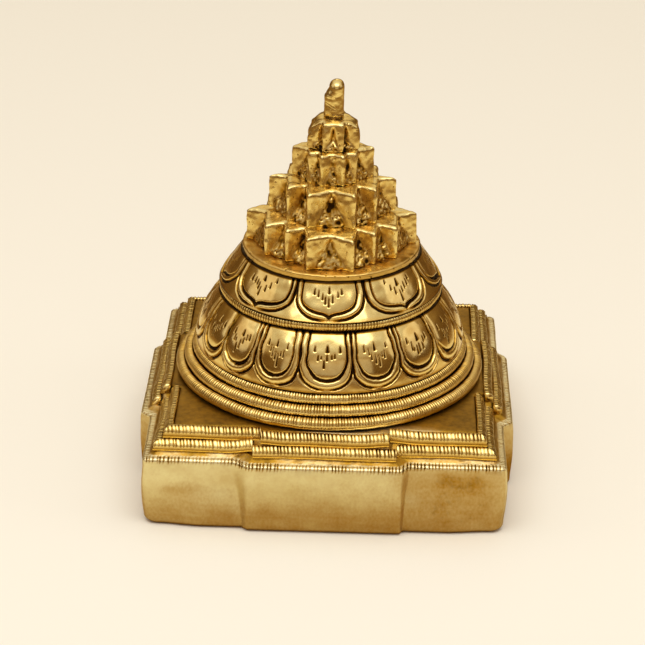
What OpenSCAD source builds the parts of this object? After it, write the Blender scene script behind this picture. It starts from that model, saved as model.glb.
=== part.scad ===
// Meru shri yantra: a stepped square plinth, girdle rings, two lotus drums and a crown of star tiers,
// stacked on one tie rod. Millimetres, +Z up, origin at the middle of the underside.

/* [Plinth] */
// Width across the corner runs of the wall
plinth_w = 72; // [68:0.5:90]
// Height of the wall to the top of its chased edge
wall_h = 14.7; // [13:0.1:20]
// Radius of the wall's upright swell
wall_swell_r = 70; // [40:1:120]
// Height at which the wall is widest
wall_widest_z = 10.5; // [8:0.1:12]
// Radius of the soft lower edge
foot_round = 1.2; // [0.6:0.1:3]
// Radius of the soft upper edge
edge_round = 0.7; // [0.3:0.1:1]
// Thickness of the wall
wall_t = 5.5; // [4.5:0.1:8]
// Thickness of the plate under the drums
top_t = 5; // [4:0.1:8]
// Corner radius of the hollow underside
hollow_round = 3; // [1:0.5:10]
// How far each gate stands out from the wall
gate_step = 2; // [1:0.1:3]
// Width of a gate at the wall
gate_w = 31; // [27:0.5:36]
// How much a gate draws in at each step, per side
gate_inset = 1.45; // [0.5:0.05:2]

/* [Steps and strips] */
// Width of the ledge between the wall and the lower strips
ledge_w = 2.4; // [1.8:0.1:3]
// Rise of the cove between the ledge and the lower strips
cove_h = 0.9; // [0.4:0.05:1]
// Width of a milled strip
strip_w = 1.85; // [1.4:0.05:2.4]
// Height of the lower strips
lower_strip_h = 1.9; // [1.4:0.1:3]
// Height of the upper strips
upper_strip_h = 2.1; // [1.4:0.1:3]
// Radius of a strip's rounded upper edges
strip_round = 0.7; // [0.2:0.05:0.7]
// How far the upper strips stand above the flat top
rim_h = 0.3; // [0:0.05:0.8]
// Gap where the end of a strip meets a gate
strip_gap = 0.1; // [0.05:0.05:0.4]

/* [Girdle rings] */
// Thickness of a girdle ring
ring_d = 2.5; // [2:0.1:2.5]
// How far each girdle ring steps in
ring_inset = 1.7; // [1.7:0.05:2.4]
// How far each girdle ring steps up
ring_rise = 1.95; // [1.95:0.05:3]
// Room between the lowest girdle ring and the gate strips
girdle_gap = 0.3; // [0.1:0.05:1]
// Depth of the seat in the flat top
seat_d = 0.6; // [0.3:0.1:1.5]

/* [Lotus drums] */
// How far the lower drum's lip lies inside the top girdle ring
lip_inset = 0.8; // [0.3:0.05:1.2]
// Height of the lower drum above its lip
lower_drum_h = 10.85; // [8:0.05:16]
// How much the lower drum draws in to its top
lower_drawn = 5.1; // [3:0.1:7]
// How far the lower drum swells past a straight side
lower_swell = 1.3; // [0.5:0.1:2]
// Number of petals on the lower drum
lower_petals = 16; // [12:2:20]
// Height of the rounded tips of the lower drum's petals
lower_tip_h = 3.9; // [2:0.1:6]
// Height of the upper drum
upper_drum_h = 6.65; // [5:0.05:12]
// How far the upper drum's lip lies inside the waist ring
upper_lip_inset = 0.1; // [0:0.05:0.5]
// How much the upper drum draws in to its top
upper_drawn = 4.8; // [3:0.1:6]
// How far the upper drum swells past a straight side
upper_swell = 0.55; // [0.2:0.05:1]
// Number of petals on the upper drum
upper_petals = 8; // [6:2:10]
// Height of the rounded tips of the upper drum's petals
upper_tip_h = 3; // [1.5:0.1:4]
// How far the petals stand proud of the ground between them
petal_relief = 0.4; // [0.2:0.05:0.6]
// Plain band below the petal tips
petal_band = 0.9; // [0.4:0.1:1.5]
// Width of the ground between neighbouring petals
petal_gap = 0.5; // [0.3:0.05:1]

/* [Waist ring] */
// Thickness of the waist ring
waist_d = 2.2; // [1.6:0.1:3]
// How far the waist ring stands out past the lower drum
waist_proud = 0.4; // [0.1:0.05:0.8]
// Height of the spigots between the stacked pieces
spigot_h = 1; // [0.5:0.1:1.2]

/* [Crown] */
// How far the crown plate stands out past the upper drum
plate_proud = 0.2; // [0:0.05:0.6]
// Thickness of the crown plate
plate_t = 1.5; // [1:0.1:3]
// Radius of the crown plate's rounded rim
plate_round = 0.4; // [0.1:0.05:0.45]
// Radius of the crown plate's spigot
plate_spigot_r = 7; // [4:0.5:10]
// Ledge of crown plate round the lowest tier
tier_1_inset = 0.8; // [0.4:0.1:2]
// Height of the lowest tier
tier_1_h = 6.9; // [5:0.1:10]
// How far the second tier's points lie inside the lowest tier's
tier_2_inset = 4.3; // [3.5:0.1:5]
// Height of the second tier
tier_2_h = 7.3; // [5:0.1:10]
// How far the third tier's points lie inside the second tier's
tier_3_inset = 4.7; // [4:0.1:5]
// Height of the third tier
tier_3_h = 6.5; // [5:0.1:10]
// How far the top tier's points lie inside the third tier's
tier_4_inset = 2.7; // [2:0.1:3]
// Height of the top tier
tier_4_h = 6; // [5:0.1:10]
// Height of the sloping metal left in the notches
fill_h = 4.4; // [2:0.1:4.8]
// How far that metal lies inside the points, at its foot
fill_inset = 1.3; // [0.8:0.1:1.8]
// How far that metal slopes in
fill_run = 2.2; // [1:0.1:2.4]

/* [Finial] */
// Thickness of the finial
finial_d = 4; // [3.6:0.1:4.6]
// Height of the finial
finial_h = 7.75; // [6.5:0.05:12]
// Height of the finial's rounded end
finial_dome_h = 2.6; // [1.5:0.1:3]
// Height at which the finial's sloping facet starts
facet_z = 4; // [3.6:0.1:5]
// Angle of the sloping facet from upright
facet_angle = 31; // [20:1:40]

/* [Tie rod] */
// Thickness of the tie rod
rod_d = 3; // [2:0.1:3.2]
// Thickness of the rod's end inside the finial
rod_end_d = 2; // [1.4:0.1:2]
// Depth of the finial's hole
finial_hole_h = 3; // [2:0.1:3.4]
// Length of rod below the nut
rod_spare = 1; // [0.4:0.1:3]
// Outside width of the washer
washer_d = 9; // [7:0.1:14]
// Thickness of the washer
washer_t = 0.8; // [0.5:0.1:1.5]
// Width of the nut across its flats
nut_w = 5.5; // [5:0.1:8]
// Height of the nut
nut_h = 2.4; // [1.5:0.1:4]
// Clearance between pieces that nest
fit = 0.05; // [0.02:0.01:0.1]

/* [Hidden] */
$fn = 96;
// More than enough to cut right through
far = 2 * plinth_w;
// Steps in the small and the large arcs of an outline, and in a petal's tip
small_steps = 5;
large_steps = 8;
tip_steps = 12;

// Half widths of the plinth's steps on the corner runs
wall_half = plinth_w / 2;
lower_half = wall_half - ledge_w;
upper_half = lower_half - strip_w;
core_half = upper_half - strip_w;
hollow_half = wall_half - wall_t;
gate_half = gate_w / 2;

// Heights of the plinth's seats and flat top
lower_seat_z = wall_h + cove_h;
upper_seat_z = lower_seat_z + lower_strip_h;
top_z = upper_seat_z + upper_strip_h - rim_h;
hollow_z = top_z - top_t;

// Girdle rings, counted from the lowest
ring_r = core_half + gate_step - girdle_gap - ring_d / 2;
function ring_mid_r(k) = ring_r - k * ring_inset;
function ring_low_z(k) = top_z + k * ring_rise;
function ring_seat_r(k) = ring_mid_r(k) - ring_d / 2 - fit;
ring_count = 3;
top_ring = ring_count - 1;

// Lower drum
lip_z = ring_low_z(top_ring) + ring_d + fit;
lip_r = ring_mid_r(top_ring) + ring_d / 2 - lip_inset;
lower_top_z = lip_z + lower_drum_h;
lower_top_r = lip_r - lower_drawn;

// Waist ring and the neck that it sits on
waist_r = lower_top_r + waist_proud - waist_d / 2;
neck_r = waist_r - waist_d / 2 - fit;
upper_z = lower_top_z + waist_d + fit;

// Upper drum
upper_r = waist_r + waist_d / 2 - upper_lip_inset;
upper_top_z = upper_z + upper_drum_h;
upper_top_r = upper_r - upper_drawn;

// Crown
plate_r = upper_top_r + plate_proud;
tier_1_r = plate_r - tier_1_inset;
tier_2_r = tier_1_r - tier_2_inset;
tier_3_r = tier_2_r - tier_3_inset;
tier_4_r = tier_3_r - tier_4_inset;
tier_1_z = upper_top_z + plate_t;
tier_2_z = tier_1_z + tier_1_h;
tier_3_z = tier_2_z + tier_2_h;
tier_4_z = tier_3_z + tier_3_h;
finial_z = tier_4_z + tier_4_h;

// One quarter of each tier's outline: angle from the front, share of the tier's radius
star_1 = [[0, 0.78], [16.5, 0.95], [26.8, 0.65], [36.5, 0.86], [51, 0.69], [56, 0.91], [81, 0.77], [90, 1]];
star_2 = [[0, 0.61], [23.6, 0.9], [44, 0.56], [51, 0.87], [83, 0.7], [90, 1]];
star_3 = [[0, 0.6], [19.4, 0.82], [33, 0.6], [46.5, 0.77], [66, 0.65], [90, 1]];
star_4 = [[0, 0.7], [24.5, 0.87], [36, 0.67], [66, 1], [90, 0.75]];

// Tie rod, from below
washer_z = hollow_z - washer_t;
nut_z = washer_z - nut_h;
rod_z = nut_z - rod_spare;
bore_r = rod_d / 2 + fit;

LEVELS = ["lower", "upper"];
SIDES = ["front", "right", "back", "left"];
RUNS = ["left", "gate", "right"];
function strip_name(level, side, run) = str(level, "_strip_", side, "_", run);

brass = "#c9992f";
pale_brass = "#d8b457";
dark_brass = "#a87a24";
steel = "#9a9a96";

// Points on an arc about a centre, from one angle to another
function arc(centre, r, from, to, steps) = [
    for (i = [0 : steps])
        let (a = from + (to - from) * i / steps)
        centre + r * [cos(a), sin(a)]
];

// Points on an ellipse about a centre, with half axes rx and ry
function oval(centre, rx, ry, from, to, steps) =
    [for (p = arc([0, 0], 1, from, to, steps)) centre + [rx * p.x, ry * p.y]];

// Points from one end to the other of an arc that swells to the right of the line between them
function swell(low, high, rise, steps) =
    let (
        run = high - low,
        half = norm(run) / 2,
        r = (half * half + rise * rise) / (2 * rise),
        side = [run.y, -run.x] / norm(run),
        centre = (low + high) / 2 - (r - rise) * side,
        from = atan2(low.y - centre.y, low.x - centre.x),
        to = atan2(high.y - centre.y, high.x - centre.x)
    )
    arc(centre, r, from, to, steps);

// Half of the plinth's upright section, from the foot of the wall up to the flat top
function plinth_section(half) =
    let (
        wall_mid = [half - wall_swell_r, wall_widest_z],
        foot_reach = wall_swell_r - foot_round,
        foot_drop = wall_widest_z - foot_round,
        foot_mid = [wall_mid.x + sqrt(foot_reach * foot_reach - foot_drop * foot_drop), foot_round],
        foot_angle = -asin(foot_drop / foot_reach),
        edge_angle = asin((wall_h - edge_round - wall_widest_z) / wall_swell_r),
        edge_x = wall_mid.x + wall_swell_r * cos(edge_angle),
        lower_x = half - ledge_w
    )
    concat(
        arc(foot_mid, foot_round, -90, foot_angle, small_steps),
        arc(wall_mid, wall_swell_r, foot_angle, edge_angle, large_steps),
        arc([edge_x - edge_round, wall_h - edge_round], edge_round, 0, 90, small_steps),
        arc([lower_x + cove_h, lower_seat_z], cove_h, 270, 180, small_steps),
        [[lower_x - strip_w, lower_seat_z], [lower_x - strip_w, upper_seat_z]],
        [[lower_x - 2 * strip_w, upper_seat_z], [lower_x - 2 * strip_w, top_z]]
    );

// A ridge along Y with the plinth's section on both flanks
module ridge(half) {
    flank = plinth_section(half);
    other = [for (i = [len(flank) - 1 : -1 : 0]) [-flank[i].x, flank[i].y]];
    rotate([90, 0, 0])
        linear_extrude(far, center = true)
            polygon(concat(flank, other));
}

// The upright slab that a pair of opposite gates is cut from
module gate_slab() {
    widths = [gate_half, gate_half - gate_inset, gate_half - 2 * gate_inset];
    right = [
        [widths[0], 0], [widths[0], wall_h],
        [widths[1], lower_seat_z], [widths[1], upper_seat_z],
        [widths[2], upper_seat_z], [widths[2], top_z]
    ];
    left = [for (i = [len(right) - 1 : -1 : 0]) [-right[i].x, right[i].y]];
    rotate([90, 0, 0])
        linear_extrude(far, center = true)
            polygon(concat(right, left));
}

// Square with rounded corners, as a prism
module rounded_square(half, r, h) {
    for (turn = [0, 90])
        rotate(turn)
            translate([-half, r - half, 0])
                cube([2 * half, 2 * (half - r), h]);
    for (x = [-1, 1], y = [-1, 1])
        translate([x * (half - r), y * (half - r), 0])
            cylinder(h = h, r = r);
}

module plinth() {
    color(brass)
        difference() {
            union() {
                intersection() {
                    ridge(wall_half);
                    rotate(90) ridge(wall_half);
                }
                for (turn = [0, 90])
                    rotate(turn)
                        intersection() {
                            rotate(90) ridge(wall_half + gate_step);
                            gate_slab();
                        }
            }
            translate([0, 0, -hollow_z]) rounded_square(hollow_half, hollow_round, 2 * hollow_z);
            translate([0, 0, top_z - seat_d]) cylinder(h = far, r = ring_seat_r(0) + fit);
            cylinder(h = far, r = bore_r);
        }
}

// A straight strip along X with its outer foot on the X axis and its rounded upper edges
module strip_bar(h) {
    rotate([90, 0, 90])
        linear_extrude(far, center = true)
            polygon(concat(
                [[0, 0], [strip_w, 0]],
                arc([strip_w - strip_round, h - strip_round], strip_round, 0, 90, small_steps),
                arc([strip_round, h - strip_round], strip_round, 90, 180, small_steps)
            ));
}

// One milled strip: its level, the side that it lies on and its run, seen from outside
module strip(level, side, run) {
    is_lower = level == LEVELS[0];
    turn = 90 * search([side], SIDES)[0];
    half = is_lower ? lower_half : upper_half;
    z = is_lower ? lower_seat_z : upper_seat_z;
    h = is_lower ? lower_strip_h : upper_strip_h;
    gate_end = gate_half - gate_inset * (is_lower ? 1 : 2);
    is_gate = run == "gate";
    front = is_gate ? half + gate_step : half;
    back = front - strip_w;
    run_end = gate_end + strip_gap;
    plan = is_gate
        ? [[-gate_end, -front], [gate_end, -front], [gate_end, -back], [-gate_end, -back]]
        : [[run_end, -front], [front, -front], [back, -back], [run_end, -back]];
    color(pale_brass)
        rotate(turn)
            mirror([run == "left" ? 1 : 0, 0, 0])
                intersection() {
                    translate([0, -front, z]) strip_bar(h);
                    linear_extrude(far) polygon(plan);
                }
}

// A ring of round wire
module wire_ring(mid_r, d, low_z) {
    translate([0, 0, low_z + d / 2])
        rotate_extrude()
            translate([mid_r, 0]) circle(d = d);
}

module girdle_ring(k) {
    color(pale_brass) wire_ring(ring_mid_r(k), ring_d, ring_low_z(k));
}

module waist_ring() {
    color(pale_brass) wire_ring(waist_r, waist_d, lower_top_z);
}

// The petals of a drum: prisms with hanging rounded tips, turned round the drum
module petal_prisms(count, low_z, high_z, low_r, high_r, tip_h) {
    low_w = low_r * sin(180 / count) - petal_gap / 2;
    high_w = high_r * sin(180 / count) - petal_gap / 2;
    shoulder_z = low_z + tip_h;
    tip = oval([0, shoulder_z], low_w, tip_h, 180, 360, tip_steps);
    for (i = [0 : count - 1])
        rotate([90, 0, i * 360 / count])
            linear_extrude(2 * low_r)
                polygon(concat(tip, [[high_w, high_z], [-high_w, high_z]]));
}

// The raised petals of a drum whose side swells from its lip to its top
module petals(count, side, tip_h) {
    low = side[0];
    high = side[len(side) - 1];
    ground = [[0, high.y], [0, low.y]];
    intersection() {
        rotate_extrude() polygon(concat(side, ground));
        petal_prisms(count, low.y + petal_band, high.y, low.x, high.x, tip_h);
    }
}

module lower_lotus_drum() {
    side = swell([lip_r, lip_z], [lower_top_r, lower_top_z], lower_swell, large_steps);
    ground = [for (p = side) [p.x - petal_relief, p.y]];
    foot = concat(
        [[0, top_z - seat_d], [ring_seat_r(0), top_z - seat_d], [ring_seat_r(0), ring_low_z(1)]],
        [[ring_seat_r(1), ring_low_z(1)], [ring_seat_r(1), ring_low_z(2)]],
        [[ring_seat_r(2), ring_low_z(2)], [ring_seat_r(2), lip_z]]
    );
    neck = [[neck_r, lower_top_z], [neck_r, upper_z + spigot_h], [0, upper_z + spigot_h]];
    color(brass)
        difference() {
            union() {
                rotate_extrude() polygon(concat(foot, ground, neck));
                petals(lower_petals, side, lower_tip_h);
            }
            cylinder(h = far, r = bore_r);
        }
}

module upper_lotus_drum() {
    side = swell([upper_r, upper_z], [upper_top_r, upper_top_z], upper_swell, large_steps);
    ground = [for (p = side) [p.x - petal_relief, p.y]];
    color(brass)
        difference() {
            union() {
                rotate_extrude() polygon(concat([[0, upper_z]], ground, [[0, upper_top_z]]));
                petals(upper_petals, side, upper_tip_h);
            }
            translate([0, 0, upper_z - spigot_h]) cylinder(h = 2 * spigot_h, r = neck_r + fit);
            translate([0, 0, upper_top_z - spigot_h]) cylinder(h = far, r = plate_spigot_r + fit);
            cylinder(h = far, r = bore_r);
        }
}

module crown_plate() {
    rim = concat(
        arc([plate_r - plate_round, upper_top_z + plate_round], plate_round, -90, 0, small_steps),
        arc([plate_r - plate_round, tier_1_z - plate_round], plate_round, 0, 90, small_steps)
    );
    spigot_z = upper_top_z - spigot_h + fit;
    spigot = [[0, spigot_z], [plate_spigot_r, spigot_z], [plate_spigot_r, upper_top_z]];
    color(brass)
        difference() {
            rotate_extrude() polygon(concat(spigot, rim, [[0, tier_1_z]]));
            cylinder(h = far, r = bore_r);
        }
}

// All the points of a star outline from its front right quarter, mirrored both ways
function star_outline(star, r) =
    let (
        last = len(star) - 1,
        right = concat(star, [for (i = [last - 1 : -1 : 0]) [180 - star[i][0], star[i][1]]]),
        left = [for (i = [len(right) - 2 : -1 : 1]) [360 - right[i][0], right[i][1]]]
    )
    [for (p = concat(right, left)) r * p[1] * [sin(p[0]), -cos(p[0])]];

// A star-shaped tier with sloping metal at the foot of its notches
module star_tier(star, r, h, z) {
    outline = star_outline(star, r);
    foot_r = r - fill_inset;
    color(brass)
        translate([0, 0, z])
            difference() {
                union() {
                    linear_extrude(h) polygon(outline);
                    intersection() {
                        cylinder(h = fill_h, r1 = foot_r, r2 = foot_r - fill_run);
                        linear_extrude(h) polygon(star_points(outline));
                    }
                }
                translate([0, 0, -h]) cylinder(h = far, r = bore_r);
            }
}

// The outer points of a star outline, without its notches
function star_points(outline) = [
    for (i = [0 : len(outline) - 1])
        let (before = outline[(i + len(outline) - 1) % len(outline)], after = outline[(i + 1) % len(outline)])
        if (norm(outline[i]) > norm(before) && norm(outline[i]) > norm(after)) outline[i]
];

module bindu_finial() {
    r = finial_d / 2;
    shoulder_z = finial_h - finial_dome_h;
    dome = oval([0, shoulder_z], r, finial_dome_h, 0, 90, large_steps);
    color(pale_brass)
        translate([0, 0, finial_z])
            difference() {
                rotate_extrude() polygon(concat([[0, 0], [r, 0]], dome));
                translate([-r, 0, facet_z])
                    rotate([0, facet_angle, 0])
                        translate([-far, -far / 2, 0])
                            cube(far);
                translate([0, 0, -finial_hole_h]) cylinder(h = 2 * finial_hole_h, r = rod_end_d / 2 + fit);
            }
}

module tie_rod() {
    color(dark_brass)
        union() {
            translate([0, 0, rod_z]) cylinder(h = finial_z - fit - rod_z, r = rod_d / 2);
            translate([0, 0, rod_z]) cylinder(h = finial_z + finial_hole_h - fit - rod_z, r = rod_end_d / 2);
        }
}

module tie_rod_washer() {
    color(steel)
        translate([0, 0, washer_z])
            difference() {
                cylinder(h = washer_t, r = washer_d / 2);
                translate([0, 0, -washer_t]) cylinder(h = 3 * washer_t, r = bore_r);
            }
}

module tie_rod_nut() {
    color(dark_brass)
        translate([0, 0, nut_z])
            difference() {
                cylinder(h = nut_h, r = nut_w / 2 / cos(30), $fn = 6);
                translate([0, 0, -nut_h]) cylinder(h = 3 * nut_h, r = bore_r);
            }
}

plinth();
for (level = LEVELS, side = SIDES, run = RUNS)
    strip(level, side, run);
girdle_ring(0);  // lower_girdle_ring
girdle_ring(1);  // middle_girdle_ring
girdle_ring(top_ring);  // upper_girdle_ring
lower_lotus_drum();
waist_ring();
upper_lotus_drum();
crown_plate();
star_tier(star_1, tier_1_r, tier_1_h, tier_1_z);  // star_tier_1
star_tier(star_2, tier_2_r, tier_2_h, tier_2_z);  // star_tier_2
star_tier(star_3, tier_3_r, tier_3_h, tier_3_z);  // star_tier_3
star_tier(star_4, tier_4_r, tier_4_h, tier_4_z);  // star_tier_4
bindu_finial();
tie_rod();
tie_rod_washer();
tie_rod_nut();
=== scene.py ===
"""Looks of a meru shri yantra in cast and chased brass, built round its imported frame."""

import logging
import math
from dataclasses import dataclass
from enum import Enum

import bmesh
import bpy
import numpy as np
from mathutils import Matrix, Vector


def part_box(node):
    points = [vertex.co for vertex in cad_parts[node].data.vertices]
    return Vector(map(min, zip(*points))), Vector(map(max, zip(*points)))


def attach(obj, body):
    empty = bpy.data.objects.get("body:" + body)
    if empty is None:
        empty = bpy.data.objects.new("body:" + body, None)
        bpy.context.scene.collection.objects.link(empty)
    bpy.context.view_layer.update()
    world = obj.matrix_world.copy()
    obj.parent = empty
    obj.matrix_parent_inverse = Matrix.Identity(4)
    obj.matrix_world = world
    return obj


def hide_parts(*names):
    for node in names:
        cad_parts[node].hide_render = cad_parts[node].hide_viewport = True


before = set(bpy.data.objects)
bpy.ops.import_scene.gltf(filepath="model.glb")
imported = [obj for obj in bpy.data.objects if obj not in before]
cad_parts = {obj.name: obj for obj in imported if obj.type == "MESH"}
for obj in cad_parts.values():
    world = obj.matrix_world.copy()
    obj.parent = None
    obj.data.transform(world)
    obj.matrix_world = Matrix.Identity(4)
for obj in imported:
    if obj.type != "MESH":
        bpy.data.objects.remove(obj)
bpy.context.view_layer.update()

BODY = "root"
MM = 0.001
WELD = 0.001
BORE_R = 1.55
LEDGE = 2.4
TURN_FOLDS = 5

Array = np.ndarray
Colour = tuple[float, float, float]
Profile = list[tuple[float, float]]
Station = tuple[float, float, float, float, float]

log = logging.getLogger("meru")


class Slot(str, Enum):
    """Material slots of the record."""

    SATIN = "satin_brass"
    MILLED = "milled_brass"
    CHASED = "chased_brass"
    CAST = "cast_brass"
    ROD = "rod_brass"
    WASHER = "washer_steel"


class Side(Enum):
    """Sides of the plinth, with the quarter turns that lead to each from the front."""

    FRONT = 0
    RIGHT = 1
    BACK = 2
    LEFT = 3


class Level(str, Enum):
    """The two steps of the plinth that carry milled strips."""

    LOWER = "lower"
    UPPER = "upper"


class Run(str, Enum):
    """The three lengths that the strips of one step are cut to on each side."""

    LEFT = "left"
    GATE = "gate"
    RIGHT = "right"


def box_mm(node: str) -> tuple[Array, Array]:
    """Box of a node at rest.

    Args:
        node: Name of the node.

    Returns:
        Lowest and highest corner, in millimetres.
    """
    low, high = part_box(node)
    return np.array(low) / MM, np.array(high) / MM


def smoothstep(low: float | Array, high: float | Array, value: Array) -> Array:
    """Soft step.

    Args:
        low: Value where the step begins.
        high: Value where the step ends.
        value: Values to map.

    Returns:
        0 before the step, 1 after it, and a soft rise between.
    """
    share = np.clip((value - low) / (high - low), 0.0, 1.0)
    return share * share * (3.0 - 2.0 * share)


def ripple(points: Array, wavelength: float, seed: int, waves: int = 18) -> Array:
    """Smooth noise made of seeded plane waves.

    Args:
        points: Places where the noise is wanted, one row each.
        wavelength: Middle length of the waves.
        seed: Seed of the random directions and phases.
        waves: How many waves are added up.

    Returns:
        Noise of about unit size at each place.
    """
    rng = np.random.default_rng(seed)
    directions = rng.normal(size=(waves, points.shape[1]))
    directions /= np.linalg.norm(directions, axis=1)[:, None]
    directions *= (math.tau / (wavelength * rng.uniform(0.65, 1.5, waves)))[:, None]
    phases = rng.uniform(0.0, math.tau, waves)
    return np.sin(points @ directions.T + phases).sum(axis=1) * math.sqrt(2.0 / waves)


def path_distance(points: Array, path: Profile) -> Array:
    """Distance to a line of straight lengths in the plane.

    Args:
        points: Places in the plane, one row each.
        path: Corners of the line in order.

    Returns:
        Shortest distance from each place to the line.
    """
    corners = np.array(path)
    nearest = np.full(len(points), np.inf)
    for start, end in zip(corners[:-1], corners[1:]):
        run = end - start
        share = np.clip((points - start) @ run / max(run @ run, 1e-12), 0.0, 1.0)
        gap = points - start - share[:, None] * run
        nearest = np.minimum(nearest, np.hypot(gap[:, 0], gap[:, 1]))
    return nearest


def loop(outline: Array) -> Profile:
    """Corners of a closed outline as a line that ends where it begins."""
    return [(float(x), float(y)) for x, y in np.vstack((outline, outline[:1]))]


def inside(points: Array, outline: Array) -> Array:
    """Test places against a closed outline.

    Args:
        points: Places in the plane, one row each.
        outline: Corners of the outline in order.

    Returns:
        True for each place inside the outline.
    """
    odd = np.zeros(len(points), dtype=bool)
    for start, end in zip(outline, np.roll(outline, -1, axis=0)):
        spans = (start[1] > points[:, 1]) != (end[1] > points[:, 1])
        rise = end[1] - start[1]
        if abs(rise) > 1e-12:
            cross = start[0] + (points[:, 1] - start[1]) * (end[0] - start[0]) / rise
            odd ^= spans & (points[:, 0] < cross)
    return odd


def notches(along: Array, pitch: float, width: float, seed: int) -> Array:
    """Hand-cut notches along a length.

    Args:
        along: Place of each vertex along the length.
        pitch: Middle distance from notch to notch.
        width: Half the width of a notch at the surface.
        seed: Seed of the unevenness.

    Returns:
        Share of the full depth at each place, 1 in the middle of a deep notch.
    """
    rng = np.random.default_rng(seed)
    start = along.min() - pitch
    count = int((along.max() - start) / pitch) + 2
    middles = start + pitch * (np.arange(count) + rng.uniform(-0.18, 0.18, count))
    knots = np.arange(0.0, count + 9.0, 9.0)
    worn = np.interp(np.arange(count), knots, rng.uniform(0.5, 1.3, len(knots)))
    strength = np.clip(worn * rng.uniform(0.65, 1.1, count), 0.2, 1.0)
    after = np.clip(np.searchsorted(middles, along), 1, count - 1)
    nearer = along - middles[after - 1] < middles[after] - along
    index = np.where(nearer, after - 1, after)
    return strength[index] * np.clip(1.0 - np.abs(along - middles[index]) / width, 0.0, 1.0)


def bowed(start: tuple[float, float], end: tuple[float, float], swell: float, rows: int) -> Profile:
    """Bowed line in a turned outline.

    Args:
        start: Radius and height where the line begins.
        end: Radius and height where the line ends.
        swell: How far the middle stands out from the chord.
        rows: Lengths that the line is cut into.

    Returns:
        Corners of the line, both ends included.
    """
    chord = np.array(end) - np.array(start)
    outward = np.array((chord[1], -chord[0])) / np.linalg.norm(chord)
    share = np.linspace(0.0, 1.0, rows + 1)[:, None]
    line = np.array(start) + share * chord + swell * 4.0 * share * (1.0 - share) * outward
    return [(float(radius), float(height)) for radius, height in line]


def quarter(middle: tuple[float, float], radius: float, first: float, last: float, rows: int) -> Profile:
    """Arc in a turned outline.

    Args:
        middle: Radius and height of the arc's centre.
        radius: Radius of the arc.
        first: Angle where it begins, in degrees from straight outwards.
        last: Angle where it ends.
        rows: Lengths that the arc is cut into.

    Returns:
        Corners of the arc, both ends included.
    """
    angles = np.radians(np.linspace(first, last, rows + 1))
    return [(middle[0] + radius * math.cos(a), middle[1] + radius * math.sin(a)) for a in angles]


def spaced(
    start: tuple[float, float], end: tuple[float, float], rows: int, rest: tuple[float, float, float],
) -> list[Station]:
    """Evenly spaced lines round the plinth.

    Args:
        start: Half width and height of the first line.
        end: Half width and height that the lines lead to, left out itself.
        rows: Number of lines.
        rest: Corner radius, gate half width and gate share of each line.

    Returns:
        The lines in order.
    """
    shares = np.linspace(0.0, 1.0, rows, endpoint=False)
    pairs = [(start[0] + s * (end[0] - start[0]), start[1] + s * (end[1] - start[1])) for s in shares]
    return [(float(half), float(height), *rest) for half, height in pairs]


def turned(profile: Profile, columns: int) -> bmesh.types.BMesh:
    """Turn a closed outline about the upright axis.

    Args:
        profile: Radius and height of each corner in order.
        columns: Steps of the full turn, rounded to whole steps of each fold.

    Returns:
        The turned shape, in millimetres.
    """
    shape = bmesh.new()
    ring = [shape.verts.new((0.0, radius, height)) for radius, height in profile]
    edges = [shape.edges.new(pair) for pair in zip(ring, ring[1:] + ring[:1])]
    wedge = math.tau / 2 ** TURN_FOLDS
    bmesh.ops.spin(
        shape, geom=ring + edges, cent=(0, 0, 0), axis=(0, 0, 1),
        angle=wedge, steps=round(columns / 2 ** TURN_FOLDS), use_duplicate=False,
    )
    for fold in range(TURN_FOLDS):
        whole = shape.verts[:] + shape.edges[:] + shape.faces[:]
        copied = bmesh.ops.duplicate(shape, geom=whole)["geom"]
        verts = [item for item in copied if isinstance(item, bmesh.types.BMVert)]
        onward = Matrix.Rotation(wedge * 2 ** fold, 3, "Z")
        bmesh.ops.rotate(shape, verts=verts, cent=(0, 0, 0), matrix=onward)
    return shape


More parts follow.
